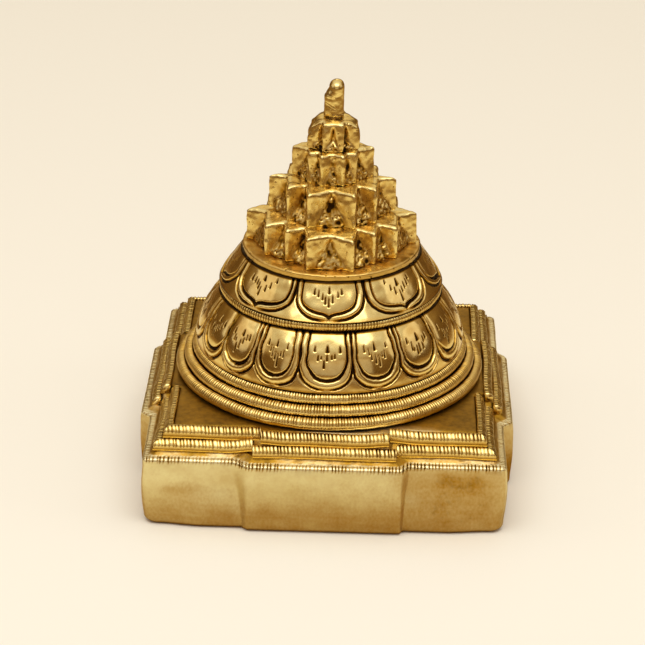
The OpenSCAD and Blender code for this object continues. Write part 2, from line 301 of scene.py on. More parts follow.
class Casting:
    """Vertices of one piece, in millimetres, while its surface is worked.

    Attributes:
        mesh: Mesh that the vertices belong to.
        points: Place of each vertex.
        hollow: Dirt and painted shade held by each vertex, 0 on clean metal and 1 in a black hollow.
    """

    def __init__(self, name: str, shape: bmesh.types.BMesh) -> None:
        """Take over a shape and free it.

        Args:
            name: Name of the mesh.
            shape: Shape in millimetres.
        """
        bmesh.ops.remove_doubles(shape, verts=shape.verts, dist=WELD)
        bmesh.ops.recalc_face_normals(shape, faces=shape.faces)
        self.mesh = bpy.data.meshes.new(name)
        shape.to_mesh(self.mesh)
        shape.free()
        self._read()

    def _read(self) -> None:
        """Read the vertices of the mesh."""
        flat = np.empty(len(self.mesh.vertices) * 3)
        self.mesh.vertices.foreach_get("co", flat)
        self.points = flat.reshape(-1, 3)
        self.hollow = np.zeros(len(self.points))

    def _write(self, scale: float) -> None:
        """Write the vertices back to the mesh at the given scale."""
        self.mesh.vertices.foreach_set("co", (self.points * scale).ravel())
        self.mesh.update()

    def remesh(self, voxel: float) -> None:
        """Fuse the shells of the mesh into one even skin.

        Args:
            voxel: Edge length of the new skin.
        """
        name = self.mesh.name
        holder = bpy.data.objects.new("holder", self.mesh)
        bpy.context.scene.collection.objects.link(holder)
        fuse = holder.modifiers.new("fuse", "REMESH")
        fuse.mode = "VOXEL"
        fuse.voxel_size = voxel
        graph = bpy.context.evaluated_depsgraph_get()
        skin = bpy.data.meshes.new_from_object(holder.evaluated_get(graph))
        old = self.mesh
        bpy.data.objects.remove(holder)
        bpy.data.meshes.remove(old)
        skin.name = name
        self.mesh = skin
        self._read()

    def normals(self) -> Array:
        """Outward direction of each vertex as the surface now stands."""
        self._write(1.0)
        flat = np.empty(len(self.points) * 3, dtype=np.float32)
        self.mesh.vertex_normals.foreach_get("vector", flat)
        return flat.reshape(-1, 3).astype(float)

    def push(self, height: Array) -> None:
        """Move each vertex along its outward direction by the given height."""
        self.points += self.normals() * height[:, None]

    def radius(self) -> Array:
        """Distance of each vertex from the upright axis."""
        return np.hypot(self.points[:, 0], self.points[:, 1])

    def bearing(self) -> Array:
        """Angle of each vertex about the upright axis, 0 at the front and rising to the right."""
        return np.arctan2(self.points[:, 0], -self.points[:, 1])

    def smoothed(self, rounds: int) -> Array:
        """Average the vertices with their neighbours.

        Args:
            rounds: How often this is done.

        Returns:
            The averaged places; the surface itself stays as it is.
        """
        ends = np.empty(len(self.mesh.edges) * 2, dtype=np.int32)
        self.mesh.edges.foreach_get("vertices", ends)
        first, second = ends.reshape(-1, 2).T
        count = np.bincount(ends, minlength=len(self.points))[:, None]
        points = self.points.copy()
        for _ in range(rounds):
            total = np.empty_like(points)
            for axis in range(3):
                total[:, axis] = np.bincount(first, points[second, axis], len(points))
                total[:, axis] += np.bincount(second, points[first, axis], len(points))
            points += 0.5 * (total / count - points)
        return points

    def soften(self, rounds: int) -> None:
        """Round off the surface by averaging each vertex with its neighbours."""
        self.points = self.smoothed(rounds)

    def cavity(self, rounds: int) -> Array:
        """Depth of each vertex below the averaged surface, negative on ridges."""
        return ((self.smoothed(rounds) - self.points) * self.normals()).sum(axis=1)

    def pit(self, seed: int, where: Array, count: int, size: tuple[float, float], depth: float) -> None:
        """Sink seeded pits into the surface and darken them.

        Args:
            seed: Seed of the pits' places and sizes.
            where: True for the vertices that may hold a pit.
            count: Number of pits.
            size: Smallest and largest radius.
            depth: Depth of a pit as a share of its radius.
        """
        rng = np.random.default_rng(seed)
        choice = np.flatnonzero(where)
        sunk = np.zeros(len(self.points))
        for index in rng.choice(choice, count):
            radius = rng.uniform(*size)
            gap = np.linalg.norm(self.points - self.points[index], axis=1)
            share = np.clip(1.0 - gap / radius, 0.0, 1.0)
            sunk = np.maximum(sunk, smoothstep(0.0, 0.8, share) * radius * depth)
            self.hollow = np.maximum(self.hollow, smoothstep(0.1, 0.7, share))
        self.push(-sunk)

    def store(self) -> bpy.types.Mesh:
        """Scale the vertices to metres and keep the dirt and painted shade as an attribute.

        Returns:
            The finished mesh.
        """
        self._write(MM)
        self.mesh.attributes.new("hollow", "FLOAT", "POINT")
        dirt = np.clip(self.hollow, 0.0, 1.0).astype(np.float32)
        self.mesh.attributes["hollow"].data.foreach_set("value", dirt)
        self.mesh.polygons.foreach_set("use_smooth", np.ones(len(self.mesh.polygons), dtype=bool))
        self.mesh.update()
        return self.mesh


class NodeGraph:
    """Short ways to add and join the nodes of one tree."""

    def __init__(self, tree: bpy.types.NodeTree) -> None:
        """Keep the tree that the nodes go into."""
        self.tree = tree

    def add(self, kind: str, settings: dict | None = None, **sockets: object) -> bpy.types.Node:
        """Add a node.

        Args:
            kind: Type name of the node.
            settings: Properties of the node to set.
            **sockets: Value or joined socket for each input, with _ for a space in its name.

        Returns:
            The new node.
        """
        node = self.tree.nodes.new(kind)
        for name, value in (settings or {}).items():
            setattr(node, name, value)
        for name, value in sockets.items():
            self.feed(node.inputs[name.replace("_", " ")], value)
        return node

    def feed(self, socket: bpy.types.NodeSocket, value: object) -> None:
        """Join a socket to an input, or set the input's value."""
        if isinstance(value, bpy.types.NodeSocket):
            self.tree.links.new(value, socket)
        else:
            socket.default_value = value

    def maths(self, operation: str, first: object, second: object = 0.0) -> bpy.types.NodeSocket:
        """Add a sum of two values.

        Args:
            operation: Name of the sum.
            first: First value or socket.
            second: Second value or socket.

        Returns:
            The socket with the result.
        """
        node = self.add("ShaderNodeMath", {"operation": operation})
        self.feed(node.inputs[0], first)
        self.feed(node.inputs[1], second)
        return node.outputs[0]

    def span(self, value: object, low: object, high: object, to: tuple = (0.0, 1.0)) -> bpy.types.NodeSocket:
        """Map a range of values onto another, clamped.

        Args:
            value: Value or socket to map.
            low: Value that gives the first result.
            high: Value that gives the last result.
            to: First and last result.

        Returns:
            The socket with the result.
        """
        node = self.add("ShaderNodeMapRange", Value=value, From_Min=low, From_Max=high)
        self.feed(node.inputs["To Min"], to[0])
        self.feed(node.inputs["To Max"], to[1])
        return node.outputs["Result"]

    def blend(self, share: object, first: object, second: object) -> bpy.types.NodeSocket:
        """Mix two colours.

        Args:
            share: Share of the second colour.
            first: First colour or socket.
            second: Second colour or socket.

        Returns:
            The socket with the mixed colour.
        """
        node = self.add("ShaderNodeMix", {"data_type": "RGBA"})
        self.feed(node.inputs[0], share)
        self.feed(node.inputs[6], first)
        self.feed(node.inputs[7], second)
        return node.outputs[2]

    def ramp(self, value: object, stops: tuple[tuple[float, Colour], ...]) -> bpy.types.NodeSocket:
        """Map a value onto a row of colours.

        Args:
            value: Value or socket to map.
            stops: Value and colour of each stop, in rising order.

        Returns:
            The socket with the colour.
        """
        node = self.add("ShaderNodeValToRGB", Fac=value)
        elements = node.color_ramp.elements
        while len(elements) < len(stops):
            elements.new(0.5)
        for element, (spot, colour) in zip(elements, stops):
            element.position = spot
            element.color = (*colour, 1.0)
        return node.outputs["Color"]

    def noise(self, stretch: tuple[float, float, float], detail: float) -> bpy.types.NodeSocket:
        """Add noise on the object's own coordinates.

        Args:
            stretch: Waves per millimetre along each axis.
            detail: Octaves of finer noise.

        Returns:
            The socket with the noise, 0 to 1.
        """
        place = self.add("ShaderNodeTexCoord").outputs["Object"]
        scaled = self.add("ShaderNodeMapping", Vector=place, Scale=[s / MM for s in stretch])
        texture = self.add("ShaderNodeTexNoise", Vector=scaled.outputs[0], Scale=1.0, Detail=detail)
        return texture.outputs["Fac"]


class SharedGroups:
    """Shader node groups that all brass finishes share, each made once."""

    @staticmethod
    def _new(name: str, inputs: dict[str, str], outputs: dict[str, str]) -> bpy.types.NodeTree:
        """Make an empty group.

        Args:
            name: Name of the group.
            inputs: Socket type of each input by name.
            outputs: Socket type of each output by name.

        Returns:
            The group.
        """
        group = bpy.data.node_groups.new(name, "ShaderNodeTree")
        for label, kind in inputs.items():
            group.interface.new_socket(label, in_out="INPUT", socket_type=kind)
        for label, kind in outputs.items():
            group.interface.new_socket(label, in_out="OUTPUT", socket_type=kind)
        return group

    @classmethod
    def tarnish(cls) -> bpy.types.NodeTree:
        """Group that turns dirt, painted shade and blotches into a colour and a roughness.

        Returns:
            The group.
        """
        found = bpy.data.node_groups.get("tarnish")
        if found:
            return found
        number, colour = "NodeSocketFloat", "NodeSocketColor"
        inputs = {"Hollow": number, "Blotches": number, "Bright": colour, "Warm": colour, "Dark": colour}
        inputs |= {"Gloss": number, "Dull": number, "Speckle": number}
        group = cls._new("tarnish", inputs, {"Colour": colour, "Roughness": number})
        graph = NodeGraph(group)
        given = graph.add("NodeGroupInput").outputs
        large = graph.noise((0.16, 0.16, 0.22), 3.0)
        small = graph.noise((0.9, 0.9, 0.9), 3.0)
        cloud = graph.maths("ADD", graph.maths("MULTIPLY", large, 0.6), graph.maths("MULTIPLY", small, 0.4))
        stain = graph.maths("MULTIPLY", graph.span(cloud, 0.38, 0.66), given["Blotches"])
        fleck = graph.maths("SUBTRACT", graph.noise((1.9, 1.9, 1.5), 2.0), 0.5)
        speckled = graph.maths("ADD", given["Hollow"], graph.maths("MULTIPLY", fleck, given["Speckle"]))
        thin = graph.span(speckled, 0.0, 0.45)
        warm = graph.maths("MAXIMUM", stain, thin)
        metal = graph.blend(warm, given["Bright"], given["Warm"])
        ragged = graph.maths(
            "ADD", given["Hollow"], graph.maths("MULTIPLY", graph.maths("SUBTRACT", small, 0.5), 0.35)
        )
        black = graph.span(ragged, 0.35, 0.85)
        tone = graph.blend(black, metal, given["Dark"])
        rough = graph.maths("MAXIMUM", graph.maths("MULTIPLY", stain, 0.5), thin)
        spread = graph.add("ShaderNodeMix", {"data_type": "FLOAT"})
        graph.feed(spread.inputs[0], rough)
        graph.feed(spread.inputs[2], given["Gloss"])
        graph.feed(spread.inputs[3], given["Dull"])
        graph.add("NodeGroupOutput", Colour=tone, Roughness=spread.outputs[0])
        return group

    @classmethod
    def grain(cls) -> bpy.types.NodeTree:
        """Group that gives the fine height of a cast or filed skin.

        Returns:
            The group.
        """
        found = bpy.data.node_groups.get("grain")
        if found:
            return found
        number = "NodeSocketFloat"
        group = cls._new("grain", {"Cast": number, "Filed": number}, {"Height": number})
        graph = NodeGraph(group)
        given = graph.add("NodeGroupInput").outputs
        coarse = graph.noise((0.8, 0.8, 0.8), 4.0)
        fine = graph.noise((2.4, 2.4, 2.4), 2.0)
        skin = graph.maths("ADD", graph.maths("MULTIPLY", coarse, 0.7), graph.maths("MULTIPLY", fine, 0.3))
        upright = graph.noise((1.7, 1.7, 0.12), 2.0)
        level = graph.noise((0.08, 0.08, 1.7), 2.0)
        filed = graph.maths("ADD", graph.maths("MULTIPLY", upright, 0.8), graph.maths("MULTIPLY", level, 0.2))
        cast_part = graph.maths("MULTIPLY", skin, given["Cast"])
        filed_part = graph.maths("MULTIPLY", filed, given["Filed"])
        graph.add("NodeGroupOutput", Height=graph.maths("ADD", cast_part, filed_part))
        return group


@dataclass(frozen=True)
class BrassFinish:
    """One finish of the metal.

    Attributes:
        slot: Material slot of the record that the finish stands for.
        bright: Colour of clean metal.
        warm: Colour of metal with a thin tarnish.
        dark: Colour of the dirt in hollows and of the deepest painted shade.
        gloss: Roughness of clean metal.
        dull: Roughness of tarnished metal.
        blotches: Share of the tarnish in the blotches.
        cast: Strength of the cast grain.
        filed: Strength of the file marks.
        relief: Depth of the grain, in millimetres.
        speckle: Strength of the fine flecks of tarnish.
    """

    slot: Slot
    bright: Colour
    warm: Colour
    dark: Colour = (0.030, 0.014, 0.004)
    gloss: float = 0.25
    dull: float = 0.5
    blotches: float = 0.6
    cast: float = 1.0
    filed: float = 0.0
    relief: float = 0.02
    speckle: float = 0.12

    def material(self) -> bpy.types.Material:
        """Material of the finish, made once.

        Returns:
            The material.
        """
        name = f"worked_{self.slot.value}"
        found = bpy.data.materials.get(name)
        if found:
            return found
        material = bpy.data.materials.new(name)
        material.use_nodes = True
        material.node_tree.nodes.clear()
        graph = NodeGraph(material.node_tree)
        # The hollow attribute carries both dirt and painted shade.
        dirt = graph.add("ShaderNodeAttribute", {"attribute_name": "hollow"}).outputs["Fac"]
        skin = graph.add(
            "ShaderNodeGroup", {"node_tree": SharedGroups.tarnish()},
            Hollow=dirt, Blotches=self.blotches, Bright=(*self.bright, 1.0), Warm=(*self.warm, 1.0),
            Dark=(*self.dark, 1.0), Gloss=self.gloss, Dull=self.dull, Speckle=self.speckle,
        )
        grain = graph.add(
            "ShaderNodeGroup", {"node_tree": SharedGroups.grain()}, Cast=self.cast, Filed=self.filed
        )
        bump = graph.add(
            "ShaderNodeBump", Height=grain.outputs["Height"], Distance=self.relief * MM, Strength=1.0
        )
        shader = graph.add(
            "ShaderNodeBsdfPrincipled", Base_Color=skin.outputs["Colour"], Metallic=1.0,
            Roughness=skin.outputs["Roughness"], Normal=bump.outputs["Normal"],
        )
        graph.add("ShaderNodeOutputMaterial", Surface=shader.outputs["BSDF"])
        return material


SATIN = BrassFinish(
    Slot.SATIN, bright=(0.88, 0.81, 0.52), warm=(0.50, 0.268, 0.026), gloss=0.34, dull=0.46,
    blotches=0.3, cast=0.6, filed=1.0, relief=0.05, speckle=0.2,
)
MILLED = BrassFinish(
    Slot.MILLED, bright=(0.88, 0.70, 0.30), warm=(0.54, 0.29, 0.03), gloss=0.2, dull=0.36,
    blotches=0.55, cast=0.8, relief=0.02,
)
CHASED = BrassFinish(
    Slot.CHASED, bright=(0.88, 0.70, 0.30), warm=(0.54, 0.27, 0.02), gloss=0.15, dull=0.34,
    blotches=0.45, cast=0.6, relief=0.015,
)
CAST = BrassFinish(
    Slot.CAST, bright=(0.88, 0.71, 0.31), warm=(0.55, 0.29, 0.03), gloss=0.22, dull=0.4,
    blotches=0.35, cast=1.0, relief=0.03,
)
ROD = BrassFinish(
    Slot.ROD, bright=(0.66, 0.5, 0.24), warm=(0.5, 0.34, 0.12), gloss=0.32, dull=0.5, blotches=0.6, relief=0.01,
)
WASHER = BrassFinish(
    Slot.WASHER, bright=(0.6, 0.6, 0.58), warm=(0.45, 0.42, 0.38), gloss=0.35, dull=0.5, blotches=0.4, relief=0.01,
)


@dataclass
class Piece:
    """A modelled piece that stands for one node of the frame.

    Attributes:
        node: Node that the piece stands for.
        finish: Finish of its metal.
        seed: Seed of its unevenness.
    """

    node: str
    finish: BrassFinish
    seed: int

    def rough_out(self) -> bmesh.types.BMesh:
        """Build the plain shape, in millimetres."""
        raise NotImplementedError

    def work(self, casting: Casting) -> None:
        """Work the surface of the plain shape."""
        raise NotImplementedError

    def place(self) -> bpy.types.Object:
        """Build the piece, dress it and join it to the frame.

        Returns:
            The finished object.
        """
        name = f"{self.node}.{self.finish.slot.value}"
        casting = Casting(name, self.rough_out())
        self.work(casting)
        piece = bpy.data.objects.new(name, casting.store())
        bpy.context.scene.collection.objects.link(piece)
        piece.data.materials.clear()
        piece.data.materials.append(self.finish.material())
        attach(piece, BODY)
        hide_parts(self.node)
        log.info("%s: %d faces", name, len(piece.data.polygons))
        return piece


@dataclass
class MilledRing(Piece):
    """Ring of milled wire.

    Attributes:
        pitch: Distance from notch to notch.
        depth: Depth of the notches.
        width: Half the width of a notch, as a share of the pitch.
        band: Angles on the wire, from straight outwards, between which it is milled.
        wire_steps: Steps round the wire.
        notch_steps: Steps from notch to notch.
    """

    pitch: float
    depth: float = 0.25
    width: float = 0.33
    band: tuple[float, float] = (14.0, 114.0)
    wire_steps: int = 22
    notch_steps: int = 6

    def wire(self) -> tuple[float, float, float]:
        """Radius and height of the wire's middle line, and the wire's own radius."""
        low, high = box_mm(self.node)
        wire_r = (high[2] - low[2]) / 2
        return high[0] - wire_r, (low[2] + high[2]) / 2, wire_r

    def rough_out(self) -> bmesh.types.BMesh:
        """Build the plain ring.

        Returns:
            The ring, in millimetres.
        """
        middle, height, wire_r = self.wire()
        count = round(math.tau * middle / self.pitch)
        section = quarter((middle, height), wire_r, 0.0, 360.0, self.wire_steps)[:-1]
        return turned(section, count * self.notch_steps)

    def work(self, casting: Casting) -> None:
        """Mill the ring and paint shade into its seams, below its milled band and on its turned-away sides.

        Args:
            casting: The plain ring.
        """
        middle, height, wire_r = self.wire()
        casting.points[:, 2] += 0.06 * ripple(casting.points[:, :2], 24.0, self.seed)
        around = np.degrees(np.arctan2(casting.points[:, 2] - height, casting.radius() - middle))
        pitch = math.tau * middle / round(math.tau * middle / self.pitch)
        cut = notches(casting.bearing() * middle, pitch, self.width * pitch, self.seed + 1)
        window = smoothstep(self.band[0] - 12.0, self.band[0] + 12.0, around)
        window *= 1.0 - smoothstep(self.band[1] - 12.0, self.band[1] + 12.0, around)
        # Painted shade in the seams where the wire meets the parts above and below it.
        seam_shade = 1.0 - smoothstep(-58.0, -30.0, around) * (1.0 - smoothstep(96.0, 116.0, around))
        # Painted shade on the sides turned away from the front, and below the milled band.
        aside = smoothstep(25.0, 70.0, np.abs(np.degrees(casting.bearing())))
        under = 0.1 * (1.0 - smoothstep(self.band[0] - 16.0, self.band[0] + 12.0, around)) + 0.24 * aside
        casting.push(-self.depth * cut * window + 0.02 * ripple(casting.points, 2.5, self.seed + 2))
        # Patina in the notches, deepened by painted shade on the turned-away sides.
        casting.hollow = np.maximum.reduce(
            [(0.74 + 0.4 * aside) * smoothstep(0.05, 0.85, cut) * window, seam_shade, under]
        )


@dataclass
class MilledStrip(Piece):
    """Straight milled strip on a step of the plinth.

    Attributes:
        level: Step that the strip lies on.
        side: Side of the plinth.
        run: Length of the side that the strip covers.
        lift: How far the strip's left and right ends are bent up.
        pitch: Distance from notch to notch.
        depth: Depth of the notches.
        width: Half the width of a notch, as a share of the pitch.
        slant: Depth and height of the sloping, milled upper edge.
        cove: Radius of the hollow between the face and the step below.
        column: Length of one step along the strip.
    """

    level: Level
    side: Side
    run: Run
    lift: tuple[float, float] = (0.0, 0.0)
    pitch: float = 0.72
    depth: float = 0.24
    width: float = 0.33
    slant: tuple[float, float] = (0.95, 0.95)
    cove: float = 0.35
    column: float = 0.1

    def front_box(self) -> tuple[Array, Array]:
        """Box of the strip of this level and run on the front side."""
        return box_mm(f"{self.level.value}_strip_front_{self.run.value}")

    def section(self) -> Profile:
        """Outline across the strip: a coved foot, a plain face and a sloping upper edge.

        Returns:
            Distance behind the front face and height of each corner.
        """
        low, high = self.front_box()
        wide, tall = high[1] - low[1], high[2] - low[2]
        back, drop = self.slant
        shoulder = tall - drop
        foot = quarter((-self.cove, self.cove), self.cove, -90.0, 0.0, 3)
        face = [(0.0, self.cove + share * (shoulder - self.cove)) for share in (0.45, 0.8)]
        edge = bowed((0.0, shoulder), (back, tall), -0.09, 9)
        crown = [(back + share * (wide - back - 0.3), tall) for share in (0.2, 0.5)]
        rear = quarter((wide - 0.3, tall - 0.3), 0.3, 90.0, 0.0, 2)
        return foot + face + edge + crown + rear + [(wide, 0.0)]

    def rough_out(self) -> bmesh.types.BMesh:
        """Build the plain strip on the front side.

        Returns:
            The strip, in millimetres.
        """
        low, high = self.front_box()
        shape = bmesh.new()
        section = [shape.verts.new((0.0, low[1] + back, low[2] + up)) for back, up in self.section()]
        for pair in zip(section, section[1:] + section[:1]):
            shape.edges.new(pair)
        steps = max(8, round((high[0] - low[0]) / self.column))
        bmesh.ops.spin(
            shape, geom=shape.verts[:] + shape.edges[:], axis=(0, 0, 1), cent=(0, 0, 0),
            dvec=(1.0 / steps, 0, 0), angle=0.0, steps=steps, use_duplicate=False,
        )
        for vert in shape.verts:
            start = vert.co.y if self.run is Run.LEFT else low[0]
            end = -vert.co.y if self.run is Run.RIGHT else high[0]
            vert.co.x = start + vert.co.x * (end - start)
        rims = [edge for edge in shape.edges if edge.is_boundary]
        bmesh.ops.holes_fill(shape, edges=rims, sides=0)
        return shape

    def work(self, casting: Casting) -> None:
        """Mill the strip, bend it a little and turn it to its side.

        Args:
            casting: The plain strip on the front side.
        """
        low, high = self.front_box()
        along = casting.points[:, 0].copy()
        back = (casting.points[:, 1] - low[1]) / self.slant[0]
        up = (casting.points[:, 2] - high[2]) / self.slant[1] + 1.0
        climb = (back + up) / 2
        line = along[:, None]
        cut = notches(along + 0.15 * climb, self.pitch, self.width * self.pitch, self.seed)
        window = smoothstep(-0.16, 0.02, climb) * (1.0 - smoothstep(1.3, 1.42, climb))
        casting.push(-self.depth * cut * window + 0.014 * ripple(casting.points, 2.0, self.seed + 1))
        crest = smoothstep(0.6, 0.9, climb)
        # Painted shade on the lower face and in the cove at the foot of the strip.
        face = (1.0 - smoothstep(-0.5, -0.1, up)) * (back < 0.5)
        rear = smoothstep(1.4, 1.47, climb)
        foot = (1.0 - smoothstep(-0.75, -0.35, up)) * (back < 0.5)
        # Painted shade: the strips on the left and right sides are darker than the front ones.
        dark = 1.5 if self.side in (Side.LEFT, Side.RIGHT) else 1.0
        dirt = dark * smoothstep(0.0, 0.8 / dark, cut) * window * (0.8 + 0.3 * crest)
        casting.hollow = np.maximum.reduce([dirt, 0.26 * face, 0.45 * foot, 0.4 * rear])
        casting.points[:, 2] += 0.06 * ripple(line, 26.0, self.seed + 2)
        casting.points[:, 1] += 0.08 * ripple(line, 22.0, self.seed + 3)
        for end, lift in zip((low[0], high[0]), self.lift):
            casting.points[:, 2] += lift * smoothstep(5.0, 0.0, np.abs(along - end))
        turn = np.array(Matrix.Rotation(self.side.value * math.pi / 2, 3, "Z"))
        casting.points = casting.points @ turn.T


@dataclass
class Mark:
    """Chisel mark on a petal.

    Attributes:
        across: Place across the petal, from its middle line.
        top: Height of the pointed upper end above the lip, along the slope.
        foot: Height of the blunt lower end.
        width: Width at the lower end.
    """

    across: float
    top: float
    foot: float
    width: float


@dataclass
class LotusDrum(Piece):
    """Drum with a ring of chased lotus petals.

    Attributes:
        lip: Radius and height of the lower edge.
        brow: Radius and height of the upper edge.
        swell: How far the side stands out from the chord.
        hidden: Outline of the parts inside the stack, from the upper edge round to the lip.
        columns: Steps round the drum.
        rows: Steps up the side.
        petals: Bearing and half width of each petal, in degrees, in order from the left of the front.
        inner: Inner outline of a petal, from its top to its tip.
        outer: Outer outline of a petal.
        groove: Depth and half width of the inner groove, then of the outer groove.
        pillow: How far a petal's middle stands out.
        marks: Chisel marks of a petal.
        band: Painted shade on the plain band along the lower edge, just above the ring.
    """

    lip: tuple[float, float]
    brow: tuple[float, float]
    swell: float
    hidden: Profile
    columns: int
    rows: int
    petals: list[tuple[float, float]]
    inner: Profile
    outer: Profile
    groove: tuple[float, float, float, float]
    pillow: float
    marks: list[Mark]
    band: float = 0.0

    def side(self) -> Profile:
        """Visible side of the drum, from the lip to the upper edge."""
        return bowed(self.lip, self.brow, self.swell, self.rows)

    def rough_out(self) -> bmesh.types.BMesh:
        """Build the plain drum.

        Returns:
            The drum, in millimetres.
        """
        return turned(self.side() + self.hidden, self.columns)

    def work(self, casting: Casting) -> None:
        """Chase the petals into the drum's side.

        Args:
            casting: The plain drum.
        """
        side = np.array(self.side())
        lengths = np.concatenate(([0.0], np.cumsum(np.linalg.norm(np.diff(side, axis=0), axis=1))))
        height = casting.points[:, 2]
        on_side = np.abs(casting.radius() - np.interp(height, side[:, 1], side[:, 0])) < 0.004
        on_side &= (height > self.lip[1] - 0.001) & (height < self.brow[1] + 0.001)
        slope = np.interp(height[on_side], side[:, 1], lengths)
        relief, dirt = self.chase(np.degrees(casting.bearing()[on_side]), slope, lengths[-1])
        lift = np.zeros(len(casting.points))
        lift[on_side] = relief
        # Painted shade on the parts hidden inside the stack.
        casting.hollow[:] = 0.8
        # Painted shade on the sides turned away from the front.
        turned_away_shade = 0.18 * smoothstep(50.0, 80.0, np.abs(np.degrees(casting.bearing()[on_side])))
        # Painted shade on the plain band along the lower edge.
        band = self.band * (1.0 - smoothstep(0.4, 0.65, slope))
        casting.hollow[on_side] = np.maximum(dirt + turned_away_shade, band)
        casting.push(lift)

    def chase(self, bearing: Array, slope: Array, top: float) -> tuple[Array, Array]:
        """Work out the relief of the petals.

        Args:
            bearing: Angle of each vertex round the drum, in degrees.
            slope: Height of each vertex above the lip, along the slope.
            top: Length of the slope.

        Returns:
            Height of the relief, and the dirt and painted shade at each vertex.
        """
        rng = np.random.default_rng(self.seed)
        middles = np.array([petal[0] for petal in self.petals])
        halves = np.array([petal[1] for petal in self.petals])
        count = len(middles)
        after = np.append(middles[1:], middles[0] + 360.0)
        after_half = np.roll(halves, -1)
        gap = after - after_half - middles - halves
        right = halves + gap / 2
        left = halves + np.roll(gap, 1) / 2
        turn = (bearing - (middles[0] - left[0])) % 360.0
        borders = (middles + right) - (middles[0] - left[0])
        index = np.clip(np.searchsorted(borders, turn), 0, count - 1)
        offset = turn - (middles - (middles[0] - left[0]))[index]
        across = offset / halves[index] * self.inner[0][0]
        edge = np.where(offset > 0, right[index], left[index])
        wide = np.abs(offset) / edge * self.outer[0][0]
        wobble = 0.05 * ripple(np.column_stack((across + 40.0 * index, slope)), 4.0, self.seed + 5)
        near_in = path_distance(np.column_stack((np.abs(across) + wobble, slope)), self.inner)
        near_out = path_distance(np.column_stack((wide + wobble, slope)), self.outer)
        hull_in = np.array(self.inner + [(-1.0, self.inner[-1][1]), (-1.0, self.inner[0][1])])
        within = inside(np.column_stack((np.abs(across) + wobble, slope)), hull_in)
        hull_out = np.array(self.outer + [(-1.0, self.outer[-1][1]), (-1.0, self.outer[0][1])])
        rim = inside(np.column_stack((wide + wobble, slope)), hull_out) & ~within
        deep_in, half_in, deep_out, half_out = self.groove
        sides = rng.uniform(0.7, 1.15, (count, 2))
        heavy = sides[index, (offset > 0).astype(int)]
        reach = half_in * heavy * (1.0 - 0.4 * smoothstep(0.22 * top, 0.5 * top, slope))
        cut_in = heavy * (1.0 - smoothstep(0.4 * reach, reach, near_in))
        fade = smoothstep(0.0, 0.35 * self.outer[0][0], wide) * 0.75 + 0.25
        cut_out = fade * (1.0 - smoothstep(0.3 * half_out, half_out, near_out))
        relief = np.where(within, self.pillow * (1.0 - np.exp(-near_in / 0.8)), 0.0)
        share = near_in / np.maximum(near_in + near_out, 1e-6)
        relief += np.where(rim, 0.3 * 4.0 * share * (1.0 - share), 0.0)
        relief -= deep_in * cut_in + deep_out * cut_out
        cut_marks = self.chisel(rng, across, slope, index, count)
        relief -= 0.22 * cut_marks
        relief += 0.012 * ripple(np.column_stack((bearing * 0.4, slope)), 3.0, self.seed + 7)
        # Painted shade in the seams at the lip and under the plate, and on the band above the lip.
        seam_shade = np.maximum(1.0 - smoothstep(0.0, 0.25, slope), smoothstep(top - 0.6, top - 0.1, slope))
        band = 0.22 * (1.0 - smoothstep(0.5, 1.1, slope))
        dirt = np.maximum.reduce([1.1 * cut_in, 0.95 * cut_out, 1.1 * cut_marks, 0.9 * seam_shade, band])
        return relief, dirt

    def chisel(
        self, rng: np.random.Generator, across: Array, slope: Array, index: Array, count: int
    ) -> Array:
        """Work out the chisel marks.

        Args:
            rng: Source of the unevenness.
            across: Place of each vertex across its petal.
            slope: Height of each vertex along the slope.
            index: Petal of each vertex.
            count: Number of petals.

        Returns:
            Share of the full depth at each vertex.
        """
        depth = np.zeros(len(across))
        mirrored = np.where(rng.random(count) < 0.5, -1.0, 1.0)
        for mark in self.marks:
            shift = rng.normal(0.0, 0.1, count)[index]
            rise = rng.normal(0.0, 0.2, count)[index]
            stretch = rng.uniform(0.85, 1.2, count)[index]
            width = mark.width * rng.uniform(0.85, 1.25, count)[index]
            down = (mark.top + rise - slope) / ((mark.top - mark.foot) * stretch)
            half = 0.5 * width * np.clip(down, 0.0, 1.0) ** 0.7 + 0.02
            gap = np.abs(across - mark.across * mirrored[index] - shift)
            open_part = (down > 0.0) & (down < 1.0)
            share = np.clip(1.25 - gap / half, 0.0, 1.0) * smoothstep(0.0, 0.35, down)
            depth = np.maximum(depth, np.where(open_part, share, 0.0))
        return depth


@dataclass(frozen=True)
class ShadeAndSmear:
    """Darker patch on the plinth's front wall: painted shade on its right half, a smear on its left half.

    Attributes:
        spot: Place along the wall, from its middle, and height.
        spread: Half width and half height of the patch.
        strength: Darkness in its middle.
    """

    spot: tuple[float, float]
    spread: tuple[float, float]
    strength: float

    def dirt(self, along: Array, height: Array) -> Array:
        """Darkness that the patch adds at each place of the wall."""
        across, up = (along - self.spot[0]) / self.spread[0], (height - self.spot[1]) / self.spread[1]
        return self.strength * np.exp(-(across ** 2) - up ** 2)


